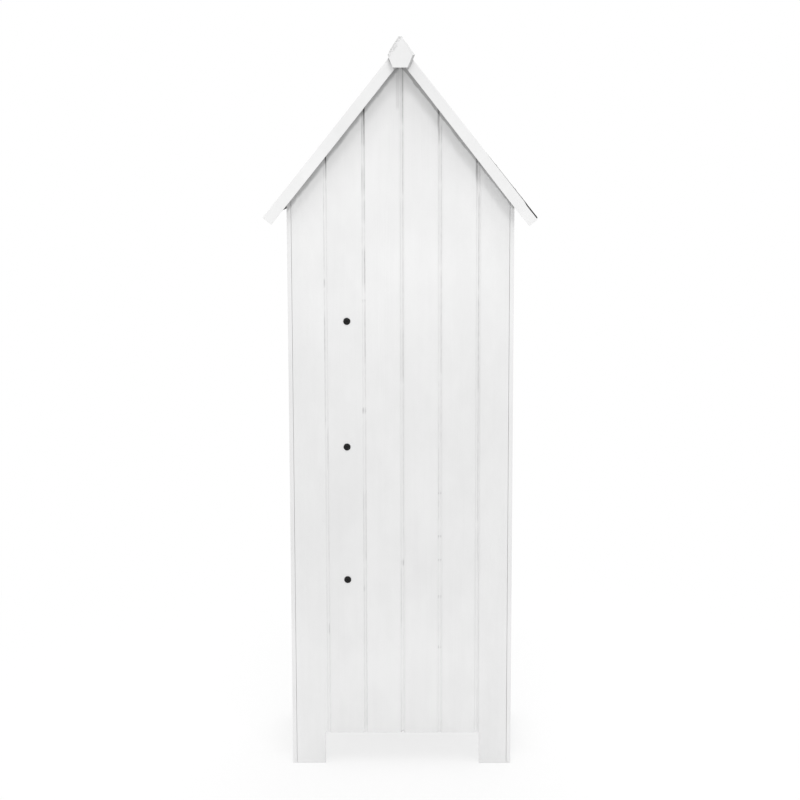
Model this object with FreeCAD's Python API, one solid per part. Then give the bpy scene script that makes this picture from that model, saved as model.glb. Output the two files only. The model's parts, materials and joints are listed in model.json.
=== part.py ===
import FreeCAD
import Part

import math
import os

# A wooden garden storage cabinet in the form of a beach hut, seen in the photograph from behind.
# Millimetres, +Z up, the ground at z = 0 and the origin under the middle of the cabinet.
# The door faces -Y. Left and right are those of someone who stands before the door, so the
# right-hand side (+X) is the left-hand side of the photograph.

# Body
BODY_WIDTH = 545.0
BODY_DEPTH = 460.0
LEG_HEIGHT = 80.0
SIDE_GAP = 0.6
LEG_TRIM = 7.0
REAR_RIGHT_LEG = 82.0
REAR_LEFT_LEG = 78.6

# Roof
RIDGE_HEIGHT = 1781.0
ROOF_PITCH_DEG = 51.3
EAVE_REACH = 54.0
GABLE_REACH = 28.0
ROOF_BOARD_COUNT = 6
FELT_THICKNESS = 2.0
FELT_LIP_DROP = 4.0
BARGEBOARD_WIDTH = 29.0
BARGEBOARD_THICKNESS = 12.0
BARGEBOARD_STAND = 2.0

# Finial plate over the meeting bargeboards
FINIAL_THICKNESS = 15.0
FINIAL_RISE = 14.0
FINIAL_UPPER = 43.0
FINIAL_LOWER = 28.0
FINIAL_WIDTH = 60.0
FINIAL_FOOT = 31.0
FINIAL_BEVEL = 4.0

# Tongue and groove boards, measured from the face that carries the V joint
BOARD_THICKNESS = 10.0
BOARD_COVER = 92.0
SIDE_BOARD_COUNT = 5
REAR_MIDDLE_COUNT = 4
REAR_JOINT_SHIFT = 3.4
JOINT_FLAT = 6.0
TONGUE_BEVEL = 2.6
LIP_BEVEL = 1.4
TONGUE_SETBACK = 3.4
TONGUE_THICKNESS = 3.2
TONGUE_LENGTH = 5.0
TONGUE_CLEARANCE = 0.2
BACK_SEAM = 0.3
NOTCH_HEIGHT = 8.0

# Frame timber
BATTEN_THICKNESS = 20.0
BATTEN_HEIGHT = 30.0
REAR_POST = 25.0
FRONT_POST_WIDTH = 60.0
UPPER_BATTEN_DROP = 36.0

# Front and door
STILE_WIDTH = 47.4
SILL_HEIGHT = 44.0
STOP_LIP = 8.0
EAVE_CLEARANCE = 15.0
DOOR_GAP = 3.0
DOOR_BOARD_COUNT = 5
HEADER_HEIGHT = 60.0
LEDGE_HEIGHT = 90.0
LEDGE_THICKNESS = 15.0
LEDGE_INSET = 5.0
LEDGE_END_DISTANCE = 145.0

# Hinges
KNUCKLE_RADIUS = 3.2
KNUCKLE_STANDOFF = 0.3
PIN_RADIUS = 1.5
PIN_CLEARANCE = 0.05
PIN_HEAD_RADIUS = 2.6
PIN_HEAD_HEIGHT = 1.2
LEAF_HEIGHT = 60.0
LEAF_REACH = 27.0
LEAF_THICKNESS = 1.5
LEAF_RELIEF = 0.5
KNUCKLE_GAP = 0.3
HINGE_SCREW_OFFSET = 17.0
HINGE_SCREW_SPACING = 20.0

# Small screws
SCREW_RADIUS = 1.6
SCREW_HEAD_RADIUS = 3.2
SCREW_HEAD_HEIGHT = 1.2
SCREW_BITE = 8.0
SCREW_CLEARANCE = 0.1

# Knob and turn button
KNOB_X = 178.0
KNOB_HEIGHT = 690.0
KNOB_RADIUS = 16.0
KNOB_ROSETTE_RADIUS = 14.0
KNOB_ROSETTE_THICKNESS = 3.0
KNOB_NECK_RADIUS = 6.5
KNOB_NECK_LENGTH = 9.0
KNOB_DOME = 11.0
BUTTON_HEIGHT = 790.0
BUTTON_EDGE_DISTANCE = 18.0
BUTTON_LENGTH = 64.0
BUTTON_WIDTH = 16.0
BUTTON_THICKNESS = 4.0
BUTTON_STANDOFF = 1.0
BUTTON_SCREW_RADIUS = 2.55
BUTTON_HEAD_RADIUS = 5.5
BUTTON_HEAD_HEIGHT = 2.5
BUTTON_CLEARANCE = 0.05
BUTTON_HEAD_GAP = 0.1

# Inside
FLOOR_THICKNESS = 10.0
FLOOR_BOARD_COUNT = 5
FLOOR_BOARD_GAP = 2.0
FITTING_GAP = 1.0
DIVIDER_TOP = 1200.0
DIVIDER_BOARD_COUNT = 4
DIVIDER_SETBACK = 5.0
SHELF_BOLT_HEIGHTS = {"lower": 476.0, "middle": 810.0, "upper": 1119.0}
SHELF_THICKNESS = 12.0
SHELF_SETBACK = 10.0
SHELF_SLAT_COUNT = 4
SHELF_SLAT_GAP = 3.0
CLEAT = 20.0

# Bolts that hold the shelves' rear cleats to the rear boards
BOLT_RADIUS = 3.0
BOLT_X = 132.6
BOLT_HEAD_RADIUS = 8.6
BOLT_HEAD_RIM = 1.0
BOLT_HEAD_DOME = 2.4
BOLT_SOCKET_FLATS = 4.0
BOLT_SOCKET_DEPTH = 2.0
BOLT_TAIL = 2.0
NUT_FLATS = 10.0
NUT_THICKNESS = 5.0

# Directions
UP = FreeCAD.Vector(0, 0, 1)
RIGHT = FreeCAD.Vector(1, 0, 0)
BACK = FreeCAD.Vector(0, 1, 0)

# Faces of the walls
OUTER_X = BODY_WIDTH / 2
INNER_X = OUTER_X - BOARD_THICKNESS
PANEL_X = INNER_X - SIDE_GAP
OUTER_Y = BODY_DEPTH / 2
INNER_Y = OUTER_Y - BOARD_THICKNESS
BATTEN_Y = INNER_Y - BATTEN_THICKNESS
REAR_POST_X = INNER_X - REAR_POST
REAR_POST_Y = INNER_Y - REAR_POST
FRONT_POST_X = INNER_X - FRONT_POST_WIDTH
STILE_X = PANEL_X - STILE_WIDTH
DOOR_X = STILE_X - DOOR_GAP

# Roof planes, measured from the bargeboards' upper edges, which stand above the felt
PITCH = math.radians(ROOF_PITCH_DEG)
ROOF_SIN = math.sin(PITCH)
ROOF_COS = math.cos(PITCH)
ROOF_TAN = math.tan(PITCH)
FELT_DEPTH = BARGEBOARD_STAND + FELT_THICKNESS
ROOF_DEPTH = FELT_DEPTH + BOARD_THICKNESS
EAVE_X = OUTER_X + EAVE_REACH
GABLE_Y = OUTER_Y + GABLE_REACH
BARGE_Y = GABLE_Y + BARGEBOARD_THICKNESS
UNDER_RIDGE = RIDGE_HEIGHT - ROOF_DEPTH / ROOF_COS
EAVE_UNDERSIDE = UNDER_RIDGE - OUTER_X * ROOF_TAN
EAVE_EDGE = RIDGE_HEIGHT - EAVE_X * ROOF_TAN
BARGEBOARD_TIP = EAVE_EDGE - BARGEBOARD_WIDTH * ROOF_COS

# Levels; the open door passes under the bargeboards' lower ends
SILL_TOP = LEG_HEIGHT + SILL_HEIGHT
DOOR_BOTTOM = SILL_TOP + DOOR_GAP
DOOR_TOP = BARGEBOARD_TIP - EAVE_CLEARANCE
GABLE_BOTTOM = DOOR_TOP + DOOR_GAP
BEARER_TOP = LEG_HEIGHT + BATTEN_HEIGHT
FLOOR_TOP = BEARER_TOP + FLOOR_THICKNESS

# Hinge line
HINGE_X = -(STILE_X - DOOR_GAP / 2)
HINGE_Y = -(OUTER_Y + KNUCKLE_RADIUS + KNUCKLE_STANDOFF)
LEDGE_CENTRES = {
    "lower": DOOR_BOTTOM + LEDGE_END_DISTANCE,
    "middle": (DOOR_BOTTOM + DOOR_TOP) / 2,
    "upper": DOOR_TOP - LEDGE_END_DISTANCE,
}


def block(x0, x1, y0, y1, z0, z1):
    """Box between two opposite corners, given in either order."""
    low = FreeCAD.Vector(min(x0, x1), min(y0, y1), min(z0, z1))
    return Part.makeBox(abs(x1 - x0), abs(y1 - y0), abs(z1 - z0), low)


def drawn(points, origin, across, through, along):
    """Solid of an outline, measured across and through from the origin, drawn out along a vector."""
    corners = [origin + across * a + through * t for a, t in points]
    return Part.Face(Part.makePolygon(corners + corners[:1])).extrude(along)


def gable_plate(points, y0, y1):
    """Solid of an outline in X and Z between two depths."""
    return drawn(points, BACK * y0, RIGHT, UP, BACK * (y1 - y0))


def mirrored(shape):
    """The same shape on the other side of the cabinet."""
    return shape.mirror(FreeCAD.Vector(0, 0, 0), RIGHT)


def rod(centre, direction, radius, length):
    return Part.makeCylinder(radius, length, centre, direction)


def hexagon(centre, direction, across, flats, length):
    """Hexagonal prism; across is a unit vector at right angles to its direction."""
    corner = flats / 2 / math.cos(math.pi / 6)
    side = direction.cross(across)
    turns = [math.pi / 3 * k for k in range(6)]
    points = [(corner * math.cos(a), corner * math.sin(a)) for a in turns]
    return drawn(points, centre, across, side, direction * length)


def plain_edge():
    """Corners of a board's square edge, from its face to its back, as (inward, through)."""
    return [(0, 0), (0, BOARD_THICKNESS)]


def grooved_edge():
    """Edge that receives a tongue; the nominal joint line is the middle of the tongue's bare flat."""
    bare = JOINT_FLAT / 2
    bottom = bare + TONGUE_LENGTH + TONGUE_CLEARANCE
    front = TONGUE_SETBACK - TONGUE_CLEARANCE
    back = TONGUE_SETBACK + TONGUE_THICKNESS + TONGUE_CLEARANCE
    lip = [(bare + LIP_BEVEL, 0), (bare, LIP_BEVEL)]
    slot = [(bare, front), (bottom, front), (bottom, back), (bare, back)]
    return lip + slot + [(bare, BOARD_THICKNESS)]


def tongued_edge():
    """Bevelled edge with a tongue whose root stays bare in the V joint."""
    bare = JOINT_FLAT / 2
    tip = -bare - TONGUE_LENGTH
    back = TONGUE_SETBACK + TONGUE_THICKNESS
    shoulder = [(bare + TONGUE_BEVEL, 0), (bare, TONGUE_BEVEL), (bare, TONGUE_SETBACK)]
    tongue = [(tip, TONGUE_SETBACK), (tip, back), (BACK_SEAM - bare, back)]
    return shoulder + tongue + [(BACK_SEAM - bare, BOARD_THICKNESS)]


def board_outline(width, first, last):
    """Closed section of a board whose first edge is at 0 and whose last edge is at its width."""
    start = [(inward, through) for inward, through in reversed(first)]
    end = [(width - inward, through) for inward, through in last]
    return start + end


def boarding(widths, origin, across, through, along):
    """Row of tongue and groove boards with square outer edges."""
    boards = []
    place = 0.0
    for number, width in enumerate(widths):
        first = grooved_edge() if number > 0 else plain_edge()
        last = tongued_edge() if number < len(widths) - 1 else plain_edge()
        outline = board_outline(width, first, last)
        boards.append(drawn(outline, origin + across * place, across, through, along))
        place += width
    return boards


def panel_widths(shift=0.0):
    """Widths of a wall's boards; a shift makes the first one wider and the last one narrower."""
    edge = PANEL_X - BOARD_COVER * REAR_MIDDLE_COUNT / 2
    return [edge + shift] + [BOARD_COVER] * REAR_MIDDLE_COUNT + [edge - shift]


def under_roof():
    """Space below the roof boards."""
    top = UNDER_RIDGE
    reach = OUTER_X + BOARD_THICKNESS
    eave = top - reach * ROOF_TAN
    points = [(-reach, 0), (reach, 0), (reach, eave), (0, top), (-reach, eave)]
    return gable_plate(points, -GABLE_Y, GABLE_Y)


def rear_boards():
    """Rear wall; its outer boards run down to the ground as legs."""
    origin = FreeCAD.Vector(PANEL_X, OUTER_Y, 0)
    widths = panel_widths(REAR_JOINT_SHIFT)
    boards = boarding(widths, origin, -RIGHT, -BACK, UP * RIDGE_HEIGHT)
    leg_x0 = REAR_LEFT_LEG - OUTER_X
    leg_x1 = OUTER_X - REAR_RIGHT_LEG
    below = block(leg_x0, leg_x1, INNER_Y, OUTER_Y, 0, LEG_HEIGHT)
    boards = [board.cut(below).common(under_roof()) for board in boards]
    middle = REAR_MIDDLE_COUNT // 2
    bare = JOINT_FLAT / 2
    notch_top = LEG_HEIGHT + NOTCH_HEIGHT
    joint_x = -REAR_JOINT_SHIFT
    notch_x0 = joint_x - bare - TONGUE_LENGTH
    notch = block(notch_x0, joint_x + bare, INNER_Y, OUTER_Y, LEG_HEIGHT, notch_top)
    boards[middle] = boards[middle].cut(notch.cut(boards[middle + 1]))
    for height in SHELF_BOLT_HEIGHTS.values():
        hole = shelf_bolt_hole(height)
        boards = [board.cut(hole) for board in boards]
    return {"rear_board_%d" % (number + 1): board for number, board in enumerate(boards)}


def side_wall():
    """Right-hand side wall; its outer boards run down to the ground as legs."""
    origin = FreeCAD.Vector(OUTER_X, -OUTER_Y, 0)
    width = BODY_DEPTH / SIDE_BOARD_COUNT
    widths = [width] * SIDE_BOARD_COUNT
    boards = boarding(widths, origin, BACK, -RIGHT, UP * RIDGE_HEIGHT)
    leg_y = OUTER_Y - width + LEG_TRIM
    below = block(INNER_X, OUTER_X, -leg_y, leg_y, 0, LEG_HEIGHT)
    boards = [board.cut(below).common(under_roof()) for board in boards]
    return Part.makeCompound(boards)


def rear_post():
    post = block(REAR_POST_X, INNER_X, REAR_POST_Y, INNER_Y, 0, RIDGE_HEIGHT)
    return post.common(under_roof())


def front_post():
    """Post behind the stile; it stands past the stile's edge as the door's stop."""
    post = block(FRONT_POST_X, INNER_X, -INNER_Y, -BATTEN_Y, 0, RIDGE_HEIGHT)
    return post.common(under_roof())


def front_stile():
    return block(STILE_X, PANEL_X, -OUTER_Y, -INNER_Y, 0, GABLE_BOTTOM)


def left_stile():
    stile = mirrored(front_stile())
    for centre in hinge_screw_centres(-1):
        stile = stile.cut(screw_hole(centre, BACK, SCREW_BITE + LEAF_THICKNESS))
    return stile


def right_stile():
    centre = FreeCAD.Vector(button_x(), -OUTER_Y, BUTTON_HEIGHT)
    hole = rod(centre, BACK, BUTTON_SCREW_RADIUS + SCREW_CLEARANCE, SCREW_BITE)
    return front_stile().cut(hole)


def gable_boards():
    """Boards over the door, up to the roof."""
    origin = FreeCAD.Vector(-PANEL_X, -OUTER_Y, GABLE_BOTTOM)
    boards = boarding(panel_widths(), origin, RIGHT, BACK, UP * (RIDGE_HEIGHT - GABLE_BOTTOM))
    return Part.makeCompound([board.common(under_roof()) for board in boards])


def header_batten():
    bottom = DOOR_TOP - STOP_LIP
    return block(-FRONT_POST_X, FRONT_POST_X, -INNER_Y, -BATTEN_Y, bottom, bottom + HEADER_HEIGHT)


def sill_board():
    return block(-STILE_X, STILE_X, -OUTER_Y, -INNER_Y, LEG_HEIGHT, SILL_TOP)


def sill_batten():
    top = DOOR_BOTTOM + STOP_LIP
    return block(-FRONT_POST_X, FRONT_POST_X, -INNER_Y, -BATTEN_Y, LEG_HEIGHT, top)


def rear_lower_batten():
    return block(-REAR_POST_X, REAR_POST_X, BATTEN_Y, INNER_Y, LEG_HEIGHT, BEARER_TOP)


def rear_upper_batten():
    bottom = EAVE_UNDERSIDE - UPPER_BATTEN_DROP
    top = bottom + BATTEN_HEIGHT
    return block(-REAR_POST_X, REAR_POST_X, BATTEN_Y, INNER_Y, bottom, top)


def floor_bearers():
    """Bearers along both side walls and under the divider."""
    inner = INNER_X - BATTEN_THICKNESS
    side = block(inner, INNER_X, -BATTEN_Y, REAR_POST_Y, LEG_HEIGHT, BEARER_TOP)
    half = BATTEN_THICKNESS / 2
    middle = block(-half, half, -BATTEN_Y, BATTEN_Y, LEG_HEIGHT, BEARER_TOP)
    return Part.makeCompound([side, mirrored(side), middle])


def wall_plates():
    """Battens along the tops of the side walls, bevelled to the roof."""
    inner = INNER_X - BATTEN_THICKNESS
    bottom = EAVE_UNDERSIDE - UPPER_BATTEN_DROP
    plate = block(inner, INNER_X, -BATTEN_Y, REAR_POST_Y, bottom, RIDGE_HEIGHT)
    plate = plate.common(under_roof())
    return Part.makeCompound([plate, mirrored(plate)])


def rake_battens(end_x, y0, y1):
    """Pair of battens under the roof's slopes, from the ridge to a post."""
    drop = BATTEN_HEIGHT / ROOF_COS
    end = UNDER_RIDGE - end_x * ROOF_TAN
    points = [(0, UNDER_RIDGE), (end_x, end), (end_x, end - drop), (0, UNDER_RIDGE - drop)]
    batten = gable_plate(points, y0, y1)
    return Part.makeCompound([batten, mirrored(batten)])


def floor_slats():
    """Floor boards from side to side, notched round the rear posts."""
    front = -BATTEN_Y + FITTING_GAP
    back = INNER_Y - FITTING_GAP
    pitch = (back - front + FLOOR_BOARD_GAP) / FLOOR_BOARD_COUNT
    half = INNER_X - FITTING_GAP
    slats = []
    for number in range(FLOOR_BOARD_COUNT):
        y0 = front + pitch * number
        y1 = y0 + pitch - FLOOR_BOARD_GAP
        slat = block(-half, half, y0, y1, BEARER_TOP, FLOOR_TOP)
        slats.append(slat.cut(post_notch()).cut(mirrored(post_notch())))
    return Part.makeCompound(slats)


def post_notch():
    """Space that floor and shelves leave round the right-hand rear post."""
    x0 = REAR_POST_X - FITTING_GAP
    y0 = REAR_POST_Y - FITTING_GAP
    return block(x0, OUTER_X, y0, OUTER_Y, 0, RIDGE_HEIGHT)


def divider():
    """Upright wall of boards between the tall side and the shelves."""
    front = -BATTEN_Y + DIVIDER_SETBACK
    back = INNER_Y - FITTING_GAP
    widths = [(back - front) / DIVIDER_BOARD_COUNT] * DIVIDER_BOARD_COUNT
    origin = FreeCAD.Vector(-BOARD_THICKNESS / 2, back, FLOOR_TOP)
    rise = UP * (DIVIDER_TOP - FLOOR_TOP)
    return Part.makeCompound(boarding(widths, origin, -BACK, RIGHT, rise))


def shelf(bolt_height):
    """Half-width shelf of slats that lies on its rails and rear cleat."""
    bottom = bolt_height + CLEAT / 2
    front = -BATTEN_Y + SHELF_SETBACK
    back = INNER_Y - FITTING_GAP
    x0 = BOARD_THICKNESS / 2 + FITTING_GAP
    x1 = INNER_X - FITTING_GAP
    pitch = (back - front + SHELF_SLAT_GAP) / SHELF_SLAT_COUNT
    slats = []
    for number in range(SHELF_SLAT_COUNT):
        y0 = front + pitch * number
        y1 = y0 + pitch - SHELF_SLAT_GAP
        slat = block(x0, x1, y0, y1, bottom, bottom + SHELF_THICKNESS)
        slats.append(slat.cut(post_notch()))
    return Part.makeCompound(slats)


def shelf_rails():
    """Rails on the side wall and on the divider, two for each shelf."""
    front = -BATTEN_Y + SHELF_SETBACK
    near = BOARD_THICKNESS / 2
    rails = []
    for height in SHELF_BOLT_HEIGHTS.values():
        z0 = height - CLEAT / 2
        z1 = height + CLEAT / 2
        rails.append(block(INNER_X - CLEAT, INNER_X, front, REAR_POST_Y, z0, z1))
        rails.append(block(near, near + CLEAT, front, INNER_Y - CLEAT, z0, z1))
    return Part.makeCompound(rails)


def shelf_cleats():
    """Rear cleats between the divider and the post, with a bolt through each."""
    cleats = []
    for height in SHELF_BOLT_HEIGHTS.values():
        z0 = height - CLEAT / 2
        z1 = height + CLEAT / 2
        cleat = block(BOARD_THICKNESS / 2, REAR_POST_X, INNER_Y - CLEAT, INNER_Y, z0, z1)
        cleats.append(cleat.cut(shelf_bolt_hole(height)))
    return Part.makeCompound(cleats)


def shelf_bolt_hole(height):
    centre = FreeCAD.Vector(BOLT_X, OUTER_Y, height)
    return rod(centre, -BACK, BOLT_RADIUS + SCREW_CLEARANCE, BOARD_THICKNESS + CLEAT)


def domed_head(centre, direction, across, radius, rim, dome):
    """Low round head with a hexagonal socket, standing on the plane through its centre."""
    bow = (radius ** 2 + dome ** 2) / (2 * dome)
    ball = Part.makeSphere(bow, centre + direction * (rim + dome - bow))
    head = rod(centre, direction, radius, rim + dome).common(ball)
    floor = centre + direction * (rim + dome - BOLT_SOCKET_DEPTH)
    return head.cut(hexagon(floor, direction, across, BOLT_SOCKET_FLATS, dome))


def shelf_bolts():
    bolts = []
    length = BOARD_THICKNESS + CLEAT + NUT_THICKNESS + BOLT_TAIL
    for height in SHELF_BOLT_HEIGHTS.values():
        centre = FreeCAD.Vector(BOLT_X, OUTER_Y, height)
        head = domed_head(centre, BACK, RIGHT, BOLT_HEAD_RADIUS, BOLT_HEAD_RIM, BOLT_HEAD_DOME)
        bolts.append(head.fuse(rod(centre, -BACK, BOLT_RADIUS, length)).removeSplitter())
    return Part.makeCompound(bolts)


def shelf_nuts():
    nuts = []
    for height in SHELF_BOLT_HEIGHTS.values():
        centre = FreeCAD.Vector(BOLT_X, INNER_Y - CLEAT, height)
        nut = hexagon(centre, -BACK, RIGHT, NUT_FLATS, NUT_THICKNESS)
        nuts.append(nut.cut(rod(centre, -BACK, BOLT_RADIUS + SCREW_CLEARANCE, NUT_THICKNESS)))
    return Part.makeCompound(nuts)


def roof_slope():
    """Right-hand slope of boards that run from front to back, their V joints on the underside."""
    down = RIGHT * ROOF_COS - UP * ROOF_SIN
    outward = RIGHT * ROOF_SIN + UP * ROOF_COS
    length = EAVE_X / ROOF_COS - ROOF_DEPTH * ROOF_TAN - FELT_THICKNESS
    spare = ROOF_DEPTH * ROOF_TAN
    cover = length / ROOF_BOARD_COUNT
    widths = [cover + spare] + [cover] * (ROOF_BOARD_COUNT - 1)
    origin = UP * UNDER_RIDGE - down * spare - BACK * GABLE_Y
    boards = boarding(widths, origin, down, outward, BACK * (2 * GABLE_Y))
    right_half = block(0, EAVE_X, -GABLE_Y, GABLE_Y, 0, RIDGE_HEIGHT)
    return Part.makeCompound([board.common(right_half) for board in boards])


def roof_felt():
    """One sheet over both slopes, turned down over the ends of the lowest boards."""
    lip = ROOF_DEPTH + FELT_LIP_DROP
    inset = FELT_THICKNESS
    tip = (EAVE_X - lip * ROOF_SIN, EAVE_EDGE - lip * ROOF_COS)
    tip_back = (tip[0] - inset * ROOF_COS, tip[1] + inset * ROOF_SIN)
    rise = lip - FELT_DEPTH
    fold = (tip_back[0] + rise * ROOF_SIN, tip_back[1] + rise * ROOF_COS)
    corner = (EAVE_X - BARGEBOARD_STAND * ROOF_SIN, EAVE_EDGE - BARGEBOARD_STAND * ROOF_COS)
    right = [corner, tip, tip_back, fold]
    left = [(-x, z) for x, z in reversed(right)]
    ridge = (0, RIDGE_HEIGHT - BARGEBOARD_STAND / ROOF_COS)
    inner_ridge = (0, RIDGE_HEIGHT - FELT_DEPTH / ROOF_COS)
    outline = [ridge] + right + [inner_ridge] + left
    return gable_plate(outline, -GABLE_Y, GABLE_Y)


def bargeboard(y0, y1):
    """Right-hand bargeboard, mitred at the ridge and cut square at the eave."""
    tip_x = EAVE_X - BARGEBOARD_WIDTH * ROOF_SIN
    bottom = RIDGE_HEIGHT - BARGEBOARD_WIDTH / ROOF_COS
    points = [(0, RIDGE_HEIGHT), (EAVE_X, EAVE_EDGE), (tip_x, BARGEBOARD_TIP), (0, bottom)]
    return gable_plate(points, y0, y1)


def finial():
    """Kite-shaped plate on the rear bargeboards, its upper edges bevelled."""
    top = RIDGE_HEIGHT + FINIAL_RISE
    shoulder = top - FINIAL_UPPER
    foot = shoulder - FINIAL_LOWER
    half = FINIAL_WIDTH / 2
    lower = [(half, shoulder), (FINIAL_FOOT / 2, foot), (-FINIAL_FOOT / 2, foot), (-half, shoulder)]
    front = BARGE_Y + FINIAL_THICKNESS
    plate = gable_plate([(0, top)] + lower, BARGE_Y, front)
    edge = math.hypot(half, FINIAL_UPPER)
    along = FreeCAD.Vector(half / edge, 0, -FINIAL_UPPER / edge)
    outward = FreeCAD.Vector(FINIAL_UPPER / edge, 0, half / edge)
    corner = UP * top + BACK * front - along * edge
    section = [(0, 0), (-FINIAL_BEVEL, 0), (0, -FINIAL_BEVEL / 2)]
    chip = drawn(section, corner, outward, BACK, along * (3 * edge))
    return plate.cut(chip).cut(mirrored(chip))


def turned_to_front(shape):
    """A rear piece turned half round onto the front."""
    return shape.rotated(FreeCAD.Vector(0, 0, 0), UP, 180)


def door_boards():
    origin = FreeCAD.Vector(-DOOR_X, -OUTER_Y, DOOR_BOTTOM)
    widths = [2 * DOOR_X / DOOR_BOARD_COUNT] * DOOR_BOARD_COUNT
    boards = boarding(widths, origin, RIGHT, BACK, UP * (DOOR_TOP - DOOR_BOTTOM))
    for centre in hinge_screw_centres(1):
        boards[0] = boards[0].cut(screw_hole(centre, BACK, SCREW_BITE + LEAF_THICKNESS))
    for centre in ledge_screw_centres():
        hole = screw_hole(centre, -BACK, LEDGE_THICKNESS + SCREW_BITE)
        boards = [board.cut(hole) for board in boards]
    return {"door_board_%d" % (number + 1): board for number, board in enumerate(boards)}


def door_ledge(height):
    """Cross batten on the inside of the door."""
    half = FRONT_POST_X - LEDGE_INSET
    z0 = height - LEDGE_HEIGHT / 2
    z1 = height + LEDGE_HEIGHT / 2
    ledge = block(-half, half, -INNER_Y, -INNER_Y + LEDGE_THICKNESS, z0, z1)
    for centre in ledge_screw_centres():
        ledge = ledge.cut(screw_hole(centre, -BACK, LEDGE_THICKNESS + SCREW_BITE))
    return ledge


def ledge_screw_centres():
    """Points on the ledges' inner faces, one over the middle of each door board."""
    width = 2 * DOOR_X / DOOR_BOARD_COUNT
    places = [-DOOR_X + width * (number + 0.5) for number in range(DOOR_BOARD_COUNT)]
    y = -INNER_Y + LEDGE_THICKNESS
    return [FreeCAD.Vector(x, y, z) for z in LEDGE_CENTRES.values() for x in places]


def hinge_screw_centres(side):
    """Points on the leaves' outer faces; side is 1 on the door and -1 on the stile."""
    x = HINGE_X + side * HINGE_SCREW_OFFSET
    steps = (-HINGE_SCREW_SPACING, 0, HINGE_SCREW_SPACING)
    y = -OUTER_Y - LEAF_THICKNESS
    return [FreeCAD.Vector(x, y, z + step) for z in LEDGE_CENTRES.values() for step in steps]


def screw(centre, direction, grip):
    """Pan-head screw; centre lies under its head and grip is the shank's length."""
    head = rod(centre, -direction, SCREW_HEAD_RADIUS, SCREW_HEAD_HEIGHT)
    return head.fuse(rod(centre, direction, SCREW_RADIUS, grip)).removeSplitter()


def screw_hole(centre, direction, grip):
    start = centre - direction * SCREW_HEAD_HEIGHT
    length = grip + SCREW_HEAD_HEIGHT + SCREW_CLEARANCE
    return rod(start, direction, SCREW_RADIUS + SCREW_CLEARANCE, length)


def screws(centres, direction, grip):
    return Part.makeCompound([screw(centre, direction, grip) for centre in centres])


def knuckle_spans(side):
    """Heights of a leaf's knuckles about the hinge's middle: one on the door, two on the stile."""
    third = LEAF_HEIGHT / 6
    if side > 0:
        return [(-third + KNUCKLE_GAP / 2, third - KNUCKLE_GAP / 2)]
    upper = (third + KNUCKLE_GAP / 2, LEAF_HEIGHT / 2)
    return [upper, (-upper[1], -upper[0])]


def hinge_leaf(height, side):
    """Leaf with its knuckles; side is 1 on the door and -1 on the stile."""
    relief = KNUCKLE_RADIUS + LEAF_RELIEF
    face = -OUTER_Y
    front = face - LEAF_THICKNESS
    x0 = HINGE_X + side * relief
    x1 = HINGE_X + side * LEAF_REACH
    leaf = block(x0, x1, front, face, height - LEAF_HEIGHT / 2, height + LEAF_HEIGHT / 2)
    for low, high in knuckle_spans(side):
        base = FreeCAD.Vector(HINGE_X, HINGE_Y, height + low)
        leaf = leaf.fuse(rod(base, UP, KNUCKLE_RADIUS, high - low))
        leaf = leaf.fuse(block(HINGE_X, x0, front, face - KNUCKLE_STANDOFF, height + low, height + high))
    bore = FreeCAD.Vector(HINGE_X, HINGE_Y, height - LEAF_HEIGHT / 2)
    leaf = leaf.cut(rod(bore, UP, PIN_RADIUS + PIN_CLEARANCE, LEAF_HEIGHT))
    for centre in hinge_screw_centres(side):
        if abs(centre.z - height) < LEAF_HEIGHT / 2:
            leaf = leaf.cut(screw_hole(centre, BACK, LEAF_THICKNESS))
    return leaf.removeSplitter()


def hinge_leaves(side):
    return Part.makeCompound([hinge_leaf(height, side) for height in LEDGE_CENTRES.values()])


def hinge_pins():
    """Pins with a flat head that rests on the upper knuckle."""
    pins = []
    for height in LEDGE_CENTRES.values():
        base = FreeCAD.Vector(HINGE_X, HINGE_Y, height - LEAF_HEIGHT / 2)
        top = base + UP * LEAF_HEIGHT
        pin = rod(base, UP, PIN_RADIUS, LEAF_HEIGHT)
        pins.append(pin.fuse(rod(top, UP, PIN_HEAD_RADIUS, PIN_HEAD_HEIGHT)).removeSplitter())
    return Part.makeCompound(pins)


def door_knob():
    """Turned knob: rosette, waisted neck and domed grip."""
    rosette = KNOB_ROSETTE_THICKNESS
    neck = rosette + KNOB_NECK_LENGTH
    reach = neck + KNOB_DOME
    points = [(0, 0), (KNOB_ROSETTE_RADIUS, 0), (KNOB_ROSETTE_RADIUS, rosette / 2)]
    points += [(KNOB_ROSETTE_RADIUS - rosette / 2, rosette), (KNOB_NECK_RADIUS, rosette)]
    points += [(KNOB_NECK_RADIUS, neck - rosette), (KNOB_RADIUS, neck)]
    centre = FreeCAD.Vector(KNOB_X, -OUTER_Y, KNOB_HEIGHT)
    corners = [centre + RIGHT * radius - BACK * out for radius, out in points]
    crown = centre - BACK * reach
    bow = (KNOB_RADIUS ** 2 + KNOB_DOME ** 2) / (2 * KNOB_DOME)
    half_turn = math.atan2(KNOB_RADIUS, bow - KNOB_DOME) / 2
    bulge = crown + BACK * (bow * (1 - math.cos(half_turn))) + RIGHT * (bow * math.sin(half_turn))
    dome = Part.Arc(corners[-1], bulge, crown).toShape()
    wire = Part.Wire(Part.makePolygon(corners).Edges + [dome, Part.makeLine(crown, centre)])
    return Part.Face(wire).revolve(centre, BACK, 360)


def button_x():
    return STILE_X + BUTTON_EDGE_DISTANCE


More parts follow.
